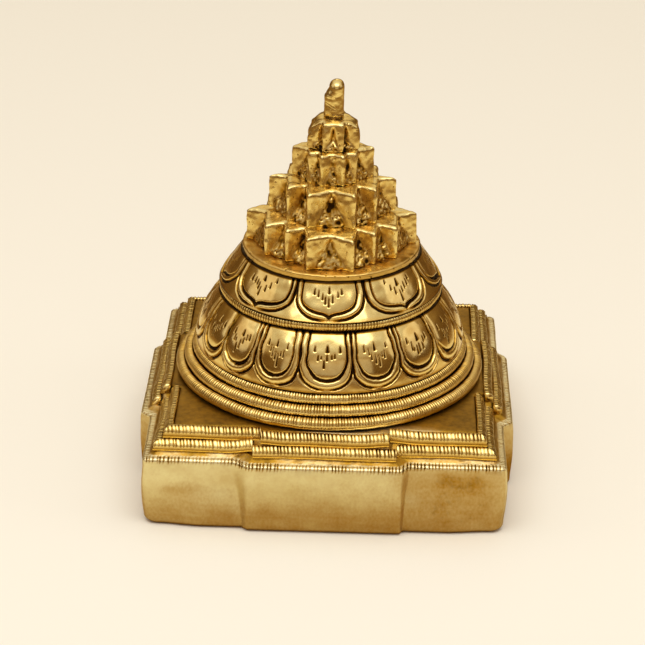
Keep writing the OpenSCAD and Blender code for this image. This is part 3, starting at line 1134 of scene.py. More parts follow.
@dataclass
class Plinth(Piece):
    """Hollow square plinth with a gate on each side and a chased upper edge.

    Attributes:
        columns: Steps along one side.
        wall_z: Height of the chased edge.
        swell_r: Radius of the wall's swell.
        gate_halves: Half width of the gate at the wall, the lower step and the upper step.
        gate_step: How far the gates stand out.
        foot_flare: How far the wall beside a gate is spread at its foot.
        corner_r: Radius of the plinth's corners at the foot and at the chased edge.
        edge_r: Radius of the chased edge.
        cove_r: Depth of the hollow ledge between the edge and the lower strips.
        hollow_half: Half width of the hollow underside.
        hollow_z: Height of the hollow's ceiling.
        pitch: Distance from dot to dot along the chased edge.
        shades_and_smears: Darker patches on the front wall, painted shade on its right half and smears on its
            left.
    """

    columns: int = 340
    wall_z: float = 14.7
    swell_r: float = 70.0
    gate_halves: tuple[float, float, float] = (15.5, 14.05, 12.6)
    gate_step: float = 2.0
    foot_flare: float = 0.9
    corner_r: tuple[float, float] = (2.6, 1.4)
    edge_r: float = 0.7
    cove_r: float = 0.28
    hollow_half: float = 30.5
    hollow_z: float = 14.3
    pitch: float = 0.7
    # The first two patches are painted shade on the right half; the last two are smears.
    shades_and_smears: tuple[ShadeAndSmear, ...] = (
        ShadeAndSmear((26.0, 11.5), (14.0, 4.2), 0.33), ShadeAndSmear((27.0, 5.0), (15.0, 5.0), 0.11),
        ShadeAndSmear((-27.0, 8.5), (8.0, 1.2), 0.14), ShadeAndSmear((-6.0, 4.0), (9.0, 1.4), 0.06),
    )

    def stations(self) -> Array:
        """Lines that run round the plinth, from the hollow's rim up to the top and down the bore.

        Returns:
            For each line its half width, height, corner radius, gate half width and gate share.
        """
        top = box_mm(self.node)[1][2]
        lower_low, lower_high = box_mm("lower_strip_front_right")
        upper_low, upper_high = box_mm("upper_strip_front_right")
        lower, upper, core = lower_high[0], upper_high[0], -upper_high[1] - 0.05
        gate_a, gate_b, gate_c = self.gate_halves
        foot_r = 1.4
        foot_x = self.wall_at(foot_r) - foot_r
        lines = spaced((self.hollow_half, 0.0), (foot_x, 0.0), 2, (3.0, gate_a, 0.0))
        for half, height in quarter((foot_x, foot_r), foot_r, -90.0, 0.0, 7)[:-1]:
            lines.append((half, height, self.corner_r[0], gate_a, 1.0))
        edge_z = self.wall_z - self.edge_r
        for height in np.linspace(foot_r, edge_z, 25)[:-1]:
            share = float(smoothstep(1.0, 11.0, height))
            corner = self.corner_r[0] + share * (self.corner_r[1] - self.corner_r[0])
            lines.append((self.wall_at(height), float(height), corner, gate_a, 1.0))
        edge_x = self.wall_at(edge_z) - self.edge_r
        for half, height in quarter((edge_x, edge_z), self.edge_r, 0.0, 90.0, 8):
            lines.append((half, height, 1.2, gate_a, 1.0))
        seat_b, seat_c = lower_low[2], upper_low[2]
        ledge = bowed((edge_x, self.wall_z), (lower, seat_b + 0.1), -self.cove_r, 10)[1:]
        for row, (half, height) in enumerate(ledge):
            lines.append((half, height, 1.0, gate_a + (gate_b - gate_a) * row / 9, 1.0))
        lines += spaced((lower - 0.2, seat_b), (upper, seat_b), 1, (0.4, gate_b, 1.0))
        lines += spaced((upper, seat_b), (upper, seat_c), 1, (0.4, gate_c, 1.0))
        lines += spaced((upper, seat_c), (core, seat_c), 1, (0.4, gate_c, 1.0))
        lines += spaced((core, seat_c), (core, top - 0.25), 1, (0.4, gate_c, 1.0))
        lines += spaced((core, top - 0.25), (core - 0.25, top), 2, (0.4, gate_c, 1.0))
        for half in np.linspace(core - 0.25, core - 5.0, 7):
            fade = float(smoothstep(core - 5.0, core - 0.5, half))
            lines.append((float(half), top, 0.4, gate_c, fade))
        bore = (BORE_R, gate_c, 0.0)
        lines += spaced((core - 8.0, top), (BORE_R, top), 2, bore)
        lines += spaced((BORE_R, top), (BORE_R, self.hollow_z), 1, bore)
        lines += spaced((BORE_R, self.hollow_z), (self.hollow_half, self.hollow_z), 2, bore)
        lines += spaced((self.hollow_half, self.hollow_z), (self.hollow_half, 0.0), 2, (3.0, gate_c, 0.0))
        return np.array(lines)

    def wall_at(self, height: float) -> float:
        """Half width of the swelling wall at a height."""
        widest = box_mm("lower_strip_front_right")[1][0] + LEDGE
        return widest - (height - self.wall_z * 0.54) ** 2 / (2 * self.swell_r)

    def rough_out(self) -> bmesh.types.BMesh:
        """Build the plinth as one grid for each side.

        Returns:
            The plinth, in millimetres.
        """
        lines = self.stations()
        closed = np.vstack((lines, lines[:1]))
        shape = bmesh.new()
        for side in Side:
            grid = bmesh.ops.create_grid(shape, x_segments=self.columns, y_segments=len(lines), size=1.0)
            self.bend(grid["verts"], closed, side)
        return shape

    def bend(self, verts: list[bmesh.types.BMVert], lines: Array, side: Side) -> None:
        """Bend a flat grid into one side of the plinth.

        Args:
            verts: Vertices of the grid, from -1 to 1 both ways.
            lines: Lines that the grid's rows go to.
            side: Side that is made.
        """
        flat = np.array([vert.co for vert in verts])
        row = np.rint((flat[:, 1] + 1.0) / 2.0 * (len(lines) - 1)).astype(int)
        half, height, corner, gate, share = lines[row].T
        straight = half - corner
        path = np.abs(flat[:, 0]) * (straight + corner * math.pi / 4)
        turn = np.clip((path - straight) / corner, 0.0, None)
        across = np.minimum(path, straight) + corner * np.sin(turn)
        out = straight + corner * np.cos(turn)
        soft = self.redent(side, flat[:, 0] > 0, height)
        shift = 0.35 * (soft - 1.0)
        step = 1.0 - smoothstep(gate + shift - soft / 2, gate + shift + soft / 2, across)
        flare = (
            self.foot_flare * (1.0 - smoothstep(1.5, 10.0, height))
            * (1.0 - smoothstep(24.0, 33.0, across))
        )
        out = out + share * np.maximum(self.gate_step * step, flare)
        angle = side.value * math.pi / 2
        for vert, x, y, z in zip(verts, np.copysign(across, flat[:, 0]), -out, height):
            vert.co = (
                x * math.cos(angle) - y * math.sin(angle), x * math.sin(angle) + y * math.cos(angle), z
            )

    def redent(self, side: Side, right: Array, height: Array) -> Array:
        """Width of the soft step from the wall to the gate.

        Args:
            side: Side of the plinth.
            right: True for vertices on the right half of the side.
            height: Height of each vertex.

        Returns:
            Width of the step at each vertex.
        """
        spread = {
            Side.FRONT: (1.6, 0.3), Side.RIGHT: (0.6, 1.0), Side.BACK: (1.0, 1.2), Side.LEFT: (0.8, 0.5)
        }
        wide = np.where(right, spread[side][1], spread[side][0])
        near_edge = smoothstep(8.0, 14.0, height) * (1.0 - smoothstep(14.9, 15.7, height))
        return 1.0 + wide + (0.8 + 0.3 * wide) * near_edge

    def work(self, casting: Casting) -> None:
        """Chase the upper edge and give the walls their unevenness.

        Args:
            casting: The plain plinth.
        """
        x, y, z = casting.points.T
        quarters = np.rint((np.arctan2(y, x) + math.pi / 2) / (math.pi / 2)).astype(int) % 4
        angle = -quarters * math.pi / 2
        along = x * np.cos(angle) - y * np.sin(angle)
        out = -(x * np.sin(angle) + y * np.cos(angle))
        cut = notches(along + 200.0 * quarters, self.pitch, 0.3 * self.pitch, self.seed)
        crest = smoothstep(33.9, 34.6, out) * smoothstep(self.wall_z - 1.0, self.wall_z - 0.4, z)
        crest *= 1.0 - smoothstep(self.wall_z + 0.05, self.wall_z + 0.2, z)
        wall = smoothstep(1.0, 3.0, z) * (1.0 - smoothstep(13.0, 14.5, z)) * (out > 33.0)
        swell = (
            0.1 * ripple(casting.points, 22.0, self.seed + 1)
            + 0.03 * ripple(casting.points, 6.0, self.seed + 2)
        )
        top = (z > box_mm(self.node)[1][2] - 0.01).astype(float)
        ledge = smoothstep(self.wall_z + 0.05, self.wall_z + 0.3, z) * (z < self.wall_z + 1.2) * (out > 33.0)
        height = -0.19 * cut * crest + swell * np.maximum(wall, 0.4 * crest)
        height += 0.03 * top * ripple(casting.points, 9.0, self.seed + 3)
        height += 0.03 * ledge * ripple(casting.points, 1.7, self.seed + 6)
        wear = np.clip(0.85 + 0.35 * ripple(casting.points, 8.0, self.seed + 8), 0.5, 1.1)
        chased = wear * smoothstep(0.05, 0.75, cut) * crest
        casting.hollow = np.maximum(chased, self.tarnish(casting.points, along, out))
        casting.push(height)

    def tarnish(self, points: Array, along: Array, out: Array) -> Array:
        """Dirt and painted shade on the plinth's plain surfaces.

        Args:
            points: Place of each vertex.
            along: Place of each vertex along its side, from the middle.
            out: Distance of each vertex from the middle, towards its side.

        Returns:
            Dirt and painted shade at each vertex.
        """
        top = box_mm(self.node)[1][2]
        height = points[:, 2]
        clouds = 0.05 * ripple(points, 9.0, self.seed + 4) + 0.03 * ripple(points, 3.0, self.seed + 7)
        smears = 0.012 * ripple(points / (9.0, 9.0, 1.2), 1.0, self.seed + 5)
        # Painted shade: the wall grows darker towards its foot.
        low_shade = 0.21 * (1.0 - smoothstep(3.0, 11.0, height))
        # Darker patches on the front wall: painted shade on its right half, smears on its left.
        patches = sum(wall_patch.dirt(along, height) for wall_patch in self.shades_and_smears) * (points[:, 1] < -33.0)
        is_wall = (out > 33.0) & (height < self.wall_z - 0.6)
        # Painted shade on the side walls, which face away from the front.
        turned_away_shade = 0.22 * (points[:, 1] > -33.0)
        wall = np.where(is_wall, low_shade + patches + turned_away_shade + 0.5 * clouds + smears + 0.02, 0.0)
        # Painted shade on the ledge and steps above the chased edge, under the strips.
        behind = smoothstep(self.wall_z + 0.04, self.wall_z + 0.22, height)
        ledge = np.where(height < top - 0.4, (0.4 + 0.8 * clouds) * behind, 0.0)
        # Painted light: the flat top is paler in front of the rings, where they cast shade.
        painted_light_patch = 0.5 * np.exp(-(((points[:, 0] - 8.0) / 14.0) ** 2)) * smoothstep(-26.0, -29.5, points[:, 1])
        flat = np.where(height > top - 0.4, 0.58 + 0.4 * clouds - painted_light_patch, 0.0)
        # Painted shade where the plinth meets the floor.
        foot = 0.45 * (1.0 - smoothstep(0.2, 1.6, height))
        # Painted shade in the hollow underside.
        hidden = 0.5 * ((out < 31.0) & (height < self.hollow_z + 0.1))
        return np.clip(np.maximum.reduce([wall, ledge, flat, foot, hidden]), 0.0, 1.0)


@dataclass
class CrownPlate(Piece):
    """Round cast plate that carries the star tiers."""

    columns: int = 520

    def rough_out(self) -> bmesh.types.BMesh:
        """Build the plain plate.

        Returns:
            The plate, in millimetres.
        """
        low, high = box_mm(self.node)
        rim, top = high[0], high[2]
        under = box_mm("upper_lotus_drum")[1][2]
        spigot = 7.0
        profile = [(rim - 0.4 - step * 0.45, top) for step in range(24, 0, -1)]
        profile += quarter((rim - 0.4, top - 0.4), 0.4, 90.0, 0.0, 5)
        profile += bowed((rim, top - 0.4), (rim - 0.1, under + 0.25), 0.05, 4)[1:]
        profile += quarter((rim - 0.35, under + 0.25), 0.25, 0.0, -90.0, 3)[1:]
        profile += [(spigot, under), (spigot, low[2]), (BORE_R, low[2]), (BORE_R, top)]
        return turned(profile, self.columns)

    def work(self, casting: Casting) -> None:
        """Roughen the plate and its rim.

        Args:
            casting: The plain plate.
        """
        low, high = box_mm(self.node)
        top = casting.points[:, 2] > high[2] - 0.01
        rim = casting.radius() > high[0] - 0.5
        bump = (
            0.03 * ripple(casting.points, 3.5, self.seed)
            + 0.012 * ripple(casting.points, 1.2, self.seed + 1)
        )
        casting.push(np.where(top | rim, bump, 0.0))
        casting.hollow = np.where(top, 0.28 + 0.12 * ripple(casting.points, 2.5, self.seed + 2), 0.3)
        # Painted shade: black under the plate's rim, over the drum.
        casting.hollow = np.where(casting.points[:, 2] < high[2] - 1.15, 1.0, casting.hollow)
        casting.pit(self.seed + 3, rim & ~top, 26, (0.2, 0.34), 0.6)
        casting.pit(self.seed + 4, top, 40, (0.2, 0.4), 0.4)


@dataclass
class StarTier(Piece):
    """Star-shaped cast tier with rough metal left in the notches between its points.

    Attributes:
        voxel: Edge length of the skin.
        edge_r: Rounding of the points and the upper edges.
        fill: Height of the rough metal in the notches, as a share of the tier's height.
        shoulder: How far the left and right sides draw in towards the top, as a share of the width.
        droop: How far the upper edge of the points on the left and right hangs down.
        flute: Least and greatest depth of the hollows above the rough metal, as a share of the notch's width.
        hole_shade: Bearing and darkness of the notches that hold a dark hole of painted shade.
        spread: How much of the radius that the rounding takes away is given back.
    """

    voxel: float
    edge_r: float = 0.55
    fill: float = 0.78
    shoulder: tuple[float, float] = (0.0, 0.0)
    droop: float = 0.1
    flute: tuple[float, float] = (0.04, 0.09)
    hole_shade: tuple[tuple[float, float], ...] = ()
    spread: float = 0.35

    def outline(self) -> Array:
        """Corners of the star, read from the frame's node, in order round the axis."""
        high = box_mm(self.node)[1]
        flat = {
            (round(v.co.x / MM, 3), round(v.co.y / MM, 3))
            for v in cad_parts[self.node].data.vertices
            if abs(v.co.z / MM - high[2]) < 0.01 and math.hypot(v.co.x, v.co.y) > 2.2 * MM
        }
        return np.array(sorted(flat, key=lambda corner: math.atan2(corner[1], corner[0])))

    def tips(self, outline: Array) -> Array:
        """Outer corners of the star, in order round the axis."""
        reach = np.hypot(outline[:, 0], outline[:, 1])
        return outline[(reach > np.roll(reach, 1)) & (reach > np.roll(reach, -1))]

    def notch_list(self, outline: Array) -> list[tuple[Array, Array, Array]]:
        """Notches of the star.

        Args:
            outline: Corners of the star.

        Returns:
            For each notch its innermost corner and the two points beside it.
        """
        reach = np.hypot(outline[:, 0], outline[:, 1])
        inner = (reach < np.roll(reach, 1)) & (reach < np.roll(reach, -1))
        count = len(outline)
        return [(outline[i], outline[i - 1], outline[(i + 1) % count]) for i in np.flatnonzero(inner)]

    def rough_out(self) -> bmesh.types.BMesh:
        """Build the star and the metal in its notches as overlapping shells.

        Returns:
            The shells, in millimetres.
        """
        low, high = box_mm(self.node)
        outline = self.outline()
        shape = bmesh.new()
        corners = [shape.verts.new((x, y, low[2])) for x, y in outline]
        floor = shape.faces.new(corners)
        raised = bmesh.ops.extrude_face_region(shape, geom=[floor])["geom"]
        lifted = [item for item in raised if isinstance(item, bmesh.types.BMVert)]
        bmesh.ops.translate(shape, verts=lifted, vec=(0, 0, high[2] - low[2]))
        sharp = [edge for edge in shape.edges if max(vert.co.z for vert in edge.verts) > low[2] + 0.01]
        bmesh.ops.bevel(
            shape, geom=sharp, offset=self.edge_r, segments=3, profile=0.5, affect="EDGES",
            clamp_overlap=True, material=-1,
        )
        rng = np.random.default_rng(self.seed)
        for notch in self.notch_list(outline):
            self.add_tongue(shape, rng, notch)
        return shape

    def add_tongue(
        self, shape: bmesh.types.BMesh, rng: np.random.Generator, notch: tuple[Array, Array, Array],
    ) -> None:
        """Add the rough metal in one notch.

        Args:
            shape: Shape that it is added to.
            rng: Source of the unevenness.
            notch: Innermost corner of the notch and the points beside it.
        """
        low, high = box_mm(self.node)
        inner, first, second = notch
        chord = second - first
        outward = (first + second) / 2 - inner
        tall = high[2] - low[2]
        height = tall * self.fill * rng.uniform(0.75, 1.2)
        reach = rng.uniform(0.62, 0.85)
        behind = 0.6 / float(np.linalg.norm(outward))
        for vert in bmesh.ops.create_icosphere(shape, subdivisions=3, radius=1.0)["verts"]:
            boxed = vert.co * (0.5 / max(map(abs, vert.co)))
            front, up = boxed.y + 0.5, boxed.z + 0.5
            across = boxed.x * (0.9 - 0.66 * up) + rng.normal(0.0, 0.01)
            ramp = reach * (1.0 - up) + 0.06 - 0.25 * up * (1.0 - up) + rng.normal(0.0, 0.012)
            spot = inner + across * chord + (front * ramp - (1.0 - front) * behind) * outward
            vert.co = (spot[0], spot[1], low[2] + 0.02 + height * up)
        for _ in range(3):
            along, up = rng.uniform(-0.35, 0.35), rng.uniform(0.0, 0.3)
            spot = inner + along * (1.0 - up) * chord + 0.9 * reach * (1.0 - up) * outward
            lump = Matrix.Translation((spot[0], spot[1], low[2] + up * height))
            bmesh.ops.create_icosphere(
                shape, subdivisions=2, radius=rng.uniform(0.03, 0.06) * tall, matrix=lump
            )

    def work(self, casting: Casting) -> None:
        """Fuse the shells and roughen the skin.

        Args:
            casting: The overlapping shells.
        """
        low, high = box_mm(self.node)
        casting.remesh(self.voxel)
        casting.soften(9)
        outline = self.outline()
        tips = self.tips(outline)
        ground = casting.points[:, :2].copy()
        beyond = np.where(inside(ground, outline), -1.0, 1.0) * path_distance(ground, loop(outline))
        sunk = np.where(inside(ground, tips), path_distance(ground, loop(tips)), 0.0)
        inner = np.array([notch[0] for notch in self.notch_list(outline)])
        deepest = float(np.median(path_distance(inner, loop(tips))))
        upward = np.abs(casting.normals()[:, 2])
        facing = 1.0 - smoothstep(0.5, 0.8, upward)
        rough = smoothstep(0.06, 0.2, beyond) * (1.0 - smoothstep(0.93, 0.99, upward))
        share = facing * (1.0 - rough) * smoothstep(0.12, 0.7, sunk / deepest)
        # Painted shade: a dark hole in the hollow above the rough metal of each notch.
        stain = np.zeros(len(ground))
        rng = np.random.default_rng(self.seed + 8)
        for notch in self.notch_list(outline):
            sunken = (
                np.maximum(share, rough * facing)
                * self.hollow_out(casting, share, notch, rng.uniform(*self.flute))
            )
            stain = np.maximum(
                stain, self.darkness(notch[0], rng.uniform(0.0, 0.5)) * smoothstep(0.1, 1.0, sunken)
            )
        self.draw_in(casting)
        points = casting.points
        height = 0.06 * ripple(points, 3.6, self.seed + 1) + 0.014 * ripple(points, 1.3, self.seed + 2)
        height += (
            rough
            * (0.045 * ripple(points, 1.3, self.seed + 3) + 0.022 * ripple(points, 0.7, self.seed + 4))
        )
        casting.push(height)
        shade = 0.12 * smoothstep(0.05, 0.35, casting.cavity(60)) * facing
        cavity = casting.cavity(16)
        pocket = smoothstep(0.03, 0.18, cavity) * np.maximum(rough, 0.6)
        ridge = smoothstep(0.015, 0.07, -cavity) * (1.0 - rough)
        # Painted shade in the crease along the edge of the rough metal.
        crease_shade = np.exp(-(((beyond - 0.12) / 0.1) ** 2)) * smoothstep(0.3, 0.7, sunk) * (upward < 0.93)
        # Painted shade at the foot, where the tier meets the one below, and deeper into each notch.
        foot = (1.0 - smoothstep(0.1, 1.0, points[:, 2] - low[2])) * facing
        recess_shade = 0.05 * smoothstep(0.1, 1.0, sunk / deepest) * facing
        mottle = (
            np.clip(0.06 + 0.05 * ripple(points, 1.9, self.seed + 5), 0.0, 0.3)
            * np.maximum(facing, rough)
        )
        stain *= np.clip(0.75 + 0.6 * ripple(points, 1.4, self.seed + 10), 0.1, 1.1)
        crease_shade *= np.clip(0.4 + 0.5 * ripple(points, 1.3, self.seed + 11), 0.0, 0.8)
        crust = rough * np.clip(0.14 + 0.2 * ripple(points, 1.1, self.seed + 13), 0.02, 0.6)
        # Painted shade at the foot, in the notches and in large hollows, with mottled tarnish and the crust of the
        # rough metal.
        thin = 0.12 * foot + recess_shade + mottle + crust + shade
        casting.hollow = np.maximum.reduce([stain, 0.9 * pocket, 0.6 * crease_shade]) + thin * (1.0 - ridge)
        crusty = (rough > 0.5) & (points[:, 2] - low[2] < 0.55 * (high[2] - low[2]))
        casting.pit(self.seed + 6, crusty, 26, (0.22, 0.36), 0.6)
        casting.pit(self.seed + 9, crusty, 170, (0.14, 0.21), 0.9)
        casting.pit(self.seed + 12, crusty & (points[:, 2] - low[2] < 1.0), 8, (0.5, 0.9), 0.2)
        casting.pit(self.seed + 7, (rough < 0.1) & (facing > 0.5), 80, (0.12, 0.2), 0.7)

    def darkness(self, inner: Array, usual: float) -> float:
        """Darkness of the painted shade in the hollow of one notch.

        Args:
            inner: Innermost corner of the notch.
            usual: Darkness where no hole is listed.

        Returns:
            The darkness, 1 for black.
        """
        bearing = math.degrees(math.atan2(inner[0], -inner[1]))
        near = [dark for spot, dark in self.hole_shade if abs(spot - bearing) < 15.0]
        return near[0] if near else usual

    def hollow_out(
        self, casting: Casting, share: Array, notch: tuple[Array, Array, Array], depth: float,
    ) -> Array:
        """Hollow the faces of one notch below the upper edge.

        Args:
            casting: The fused tier.
            share: Share of the move that each vertex takes.
            notch: Innermost corner of the notch and the points beside it.
            depth: Depth of the hollow as a share of the notch's width.

        Returns:
            How far each vertex lies in the hollow, 1 at its middle.
        """
        low, high = box_mm(self.node)
        inner, first, second = notch
        inward = -inner / np.linalg.norm(inner)
        width = float(np.linalg.norm(second - first))
        ground = casting.points[:, :2]
        aside = ground @ np.array((-inward[1], inward[0]))
        level = (casting.points[:, 2] - low[2]) / (high[2] - low[2])
        window = smoothstep(0.25 * self.fill, 0.7 * self.fill, level) * (1.0 - smoothstep(0.72, 0.92, level))
        half = width * np.clip(0.05 + 0.26 * (0.9 - level), 0.04, 0.2)
        weight = np.exp(-((aside / half) ** 2)) * window * (ground @ inward < 0.0)
        casting.points[:, :2] += (depth * width * weight * share)[:, None] * inward
        return weight

    def draw_in(self, casting: Casting) -> None:
        """Draw the left and right sides in towards the top and let the upper edge of the points hang.

        Args:
            casting: The fused tier.
        """
        low, high = box_mm(self.node)
        across = casting.points[:, 0]
        sag = smoothstep(0.4, 1.0, np.abs(across) / high[0])
        lift = smoothstep(0.3, 1.0, (casting.points[:, 2] - low[2]) / (high[2] - low[2]))
        reach = smoothstep(0.35, 0.95, np.abs(across) / high[0])
        amount = np.where(across < 0.0, self.shoulder[0], self.shoulder[1])
        casting.points[:, 0] = across * (1.0 - amount * lift * reach)
        casting.points[:, :2] *= 1.0 + self.spread / high[0]
        worn = np.clip(0.4 + ripple(casting.points[:, :2], 3.5, self.seed + 14), 0.0, 1.2)
        outer = smoothstep(0.7, 1.0, casting.radius() / high[0])
        casting.points[:, 2] -= (self.droop * sag + 0.16 * worn * outer) * lift


@dataclass
class BinduFinial(Piece):
    """Thumb-shaped point on top, with a sloping nail-like facet.

    Attributes:
        columns: Steps round the point.
        dome_h: Height of its rounded end.
    """

    columns: int = 192
    dome_h: float = 1.45

    def rough_out(self) -> bmesh.types.BMesh:
        """Build the plain point.

        Returns:
            The point, in millimetres.
        """
        low, high = box_mm(self.node)
        radius = (high[0] - low[0]) / 2
        dome = high[2] - self.dome_h
        profile = [(radius * 1.12, low[2]), (radius * 1.1, low[2] + 0.25), (radius * 1.02, low[2] + 0.6)]
        profile += bowed((radius, low[2] + 0.9), (radius, dome), -0.04, 52)
        crest = quarter((0.0, 0.0), 1.0, 0.0, 89.0, 20)[1:]
        profile += [(radius * across ** 0.8, dome + self.dome_h * up) for across, up in crest]
        profile += [(0.02, high[2]), (0.02, low[2])]
        return turned(profile, self.columns)

    def work(self, casting: Casting) -> None:
        """Cut the sloping facet and wear the surface.

        Args:
            casting: The plain point.
        """
        low, high = box_mm(self.node)
        radius = (high[0] - low[0]) / 2
        x, level = casting.points[:, 0], casting.points[:, 2] - low[2]
        lean = 0.3 * smoothstep(4.5, 4.9, level) + 0.7 * smoothstep(4.8, 6.3, level)
        casting.points[:, 0] = x * (1.0 - 0.24 * lean) + 0.24 * radius * lean
        slope = np.array((-0.35, -0.937))
        proud = (
            np.clip(casting.points[:, :2] @ slope - 0.84 * radius, 0.0, None)
            * (1.0 - smoothstep(4.2, 4.8, level))
        )
        casting.points[:, :2] -= 0.85 * proud[:, None] * slope
        casting.soften(4)
        points = casting.points
        face = np.column_stack((points[:, 0], points[:, 2] - low[2]))
        front = smoothstep(-0.2, -0.8, points[:, 1])
        gap = np.hypot((face[:, 0] - 0.5) / 1.3, (face[:, 1] - 5.6) / 1.0)
        nail = (
            np.exp(-(((gap - 1.0) / 0.12) ** 2)) * front
            * smoothstep(0.5, -0.5, face[:, 1] - 5.6 + 0.5 * face[:, 0])
        )
        scratches = np.minimum(
            path_distance(face, [(-1.6, 3.4), (0.1, 2.5)]), path_distance(face, [(-1.3, 2.7), (0.3, 1.9)])
        )
        scored = (1.0 - smoothstep(0.03, 0.13, scratches)) * front
        foot = 1.0 - smoothstep(0.4, 1.1, face[:, 1])
        height = 0.012 * ripple(points, 1.8, self.seed) + 0.003 * ripple(points, 0.7, self.seed + 1)
        casting.push(height + foot * 0.1 * ripple(points, 1.0, self.seed + 2) - 0.035 * nail - 0.03 * scored)
        crust = 0.7 * foot * smoothstep(0.0, 1.0, ripple(points, 0.9, self.seed + 3))
        casting.hollow = np.maximum.reduce([crust, 0.2 * nail, 0.25 * scored])
        casting.pit(self.seed + 4, face[:, 1] < 3.0, 5, (0.12, 0.22), 0.5)


@dataclass
class TieRodHardware:
    """Rod, washer and nut inside the stack, shown as the frame has them."""

    parts: tuple[tuple[str, BrassFinish], ...] = (
        ("tie_rod", ROD), ("tie_rod_nut", ROD), ("tie_rod_washer", WASHER),
    )

    def place(self) -> None:
        """Dress the frame's own nodes."""
        for node, finish in self.parts:
            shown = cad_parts[node]
            shown.data.materials.clear()
            shown.data.materials.append(finish.material())
            log.info("%s: %s", node, finish.slot.value)


@dataclass(frozen=True)
class SoftBox:
    """Rectangular studio light.

    Attributes:
        name: Name of the light.
        spot: Place, in metres.
        aim: Point that it faces, in metres.
        size: Width and depth, in metres.
        power: Power, in watts.
        tint: Colour of the light.
    """

    name: str
    spot: tuple[float, float, float]
    aim: tuple[float, float, float]
    size: tuple[float, float]
    power: float
    tint: Colour = (1.0, 0.97, 0.92)

    def place(self) -> None:
        """Add the light to the scene."""
        lamp = bpy.data.lights.new(self.name, "AREA")
        lamp.shape = "RECTANGLE"
        lamp.size, lamp.size_y = self.size
        lamp.energy = self.power
        lamp.color = self.tint
        holder = bpy.data.objects.new(self.name, lamp)
        bpy.context.scene.collection.objects.link(holder)
        holder.location = self.spot
        away = Vector(self.aim) - Vector(self.spot)
        holder.rotation_euler = away.to_track_quat("-Z", "Y").to_euler()


@dataclass
class Studio:
    """Plain pale floor, soft room light and soft boxes.

    Attributes:
        floor_half: Half width of the floor, in metres.
        pale: Colour of the floor.
        mirrored: Distance and colour of the floor as the metal mirrors it, from the object outwards: a painted
            reflection, with painted shade next to the object.
        stops: Height and colour of the room's light, from the horizon up.
        boxes: Soft boxes round the object.
    """

    floor_half: float = 3.0
    pale: Colour = (0.92, 0.89, 0.82)
    mirrored: tuple[tuple[float, Colour], ...] = (
        (0.045, (0.52, 0.38, 0.16)), (0.075, (0.92, 0.86, 0.62)), (0.15, (0.90, 0.80, 0.52)),
        (0.20, (0.34, 0.20, 0.05)), (0.30, (0.24, 0.13, 0.03)),
    )
    stops: tuple[tuple[float, Colour], ...] = (
        (0.0, (0.12, 0.06, 0.015)), (0.28, (0.20, 0.11, 0.03)), (0.44, (0.34, 0.21, 0.07)),
        (0.72, (0.85, 0.80, 0.70)), (1.0, (1.10, 1.05, 0.96)),
    )
    boxes: tuple[SoftBox, ...] = (
        SoftBox("overhead", (0.0, -0.28, 0.68), (0.0, 0.0, 0.03), (0.8, 0.42), 2.1),
        SoftBox("front", (0.0, -1.0, 0.28), (0.0, 0.0, 0.03), (1.3, 0.5), 0.8),
        SoftBox("left", (-0.85, -0.08, 0.40), (0.0, 0.0, 0.03), (0.55, 0.5), 0.5),
        SoftBox("right", (0.85, -0.08, 0.40), (0.0, 0.0, 0.03), (0.55, 0.5), 0.5),
        SoftBox("back", (0.0, 1.0, 0.50), (0.0, 0.0, 0.03), (1.2, 0.36), 0.75, (1.0, 0.86, 0.5)),
    )

    def place(self) -> None:
        """Build the studio."""
        self.lay_floor()
        self.light_room()
        for box in self.boxes:
            box.place()

    def lay_floor(self) -> None:
        """Lay the floor under the object."""
        shape = bmesh.new()
        bmesh.ops.create_grid(shape, x_segments=1, y_segments=1, size=self.floor_half)
        mesh = bpy.data.meshes.new("floor")
        shape.to_mesh(mesh)
        shape.free()
        floor = bpy.data.objects.new("floor", mesh)
        bpy.context.scene.collection.objects.link(floor)
        mesh.materials.append(self.floor_material())

    def floor_material(self) -> bpy.types.Material:
        """Matt pale floor with a painted reflection: the metal mirrors it in a darker, warmer tone.

        Returns:
            The material.
        """
        material = bpy.data.materials.new("floor")
        material.use_nodes = True
        material.node_tree.nodes.clear()
        graph = NodeGraph(material.node_tree)
        place = graph.add("ShaderNodeTexCoord").outputs["Object"]
        gap = graph.add("ShaderNodeVectorMath", {"operation": "LENGTH"}, Vector=place).outputs["Value"]
        # Painted reflection: glossy rays see a darker, warmer floor, darkest next to the object.
        glossy = graph.add("ShaderNodeLightPath").outputs["Is Glossy Ray"]
        tone = graph.blend(glossy, (*self.pale, 1.0), graph.ramp(gap, self.mirrored))
        shader = graph.add("ShaderNodeBsdfPrincipled", Base_Color=tone, Roughness=0.8)
        shader.inputs["Specular IOR Level"].default_value = 0.1
        graph.add("ShaderNodeOutputMaterial", Surface=shader.outputs["BSDF"])
        return material

    def light_room(self) -> None:
        """Light the scene from a dome that is dim at the horizon and bright above."""
        world = bpy.data.worlds.new("room")
        bpy.context.scene.world = world
        world.use_nodes = True
        world.node_tree.nodes.clear()
        graph = NodeGraph(world.node_tree)
        place = graph.add("ShaderNodeTexCoord").outputs["Generated"]
        up = graph.add("ShaderNodeSeparateXYZ", Vector=place).outputs["Z"]
        sky = graph.add("ShaderNodeBackground", Color=graph.ramp(up, self.stops), Strength=1.0)
        graph.add("ShaderNodeOutputWorld", Surface=sky.outputs["Background"])


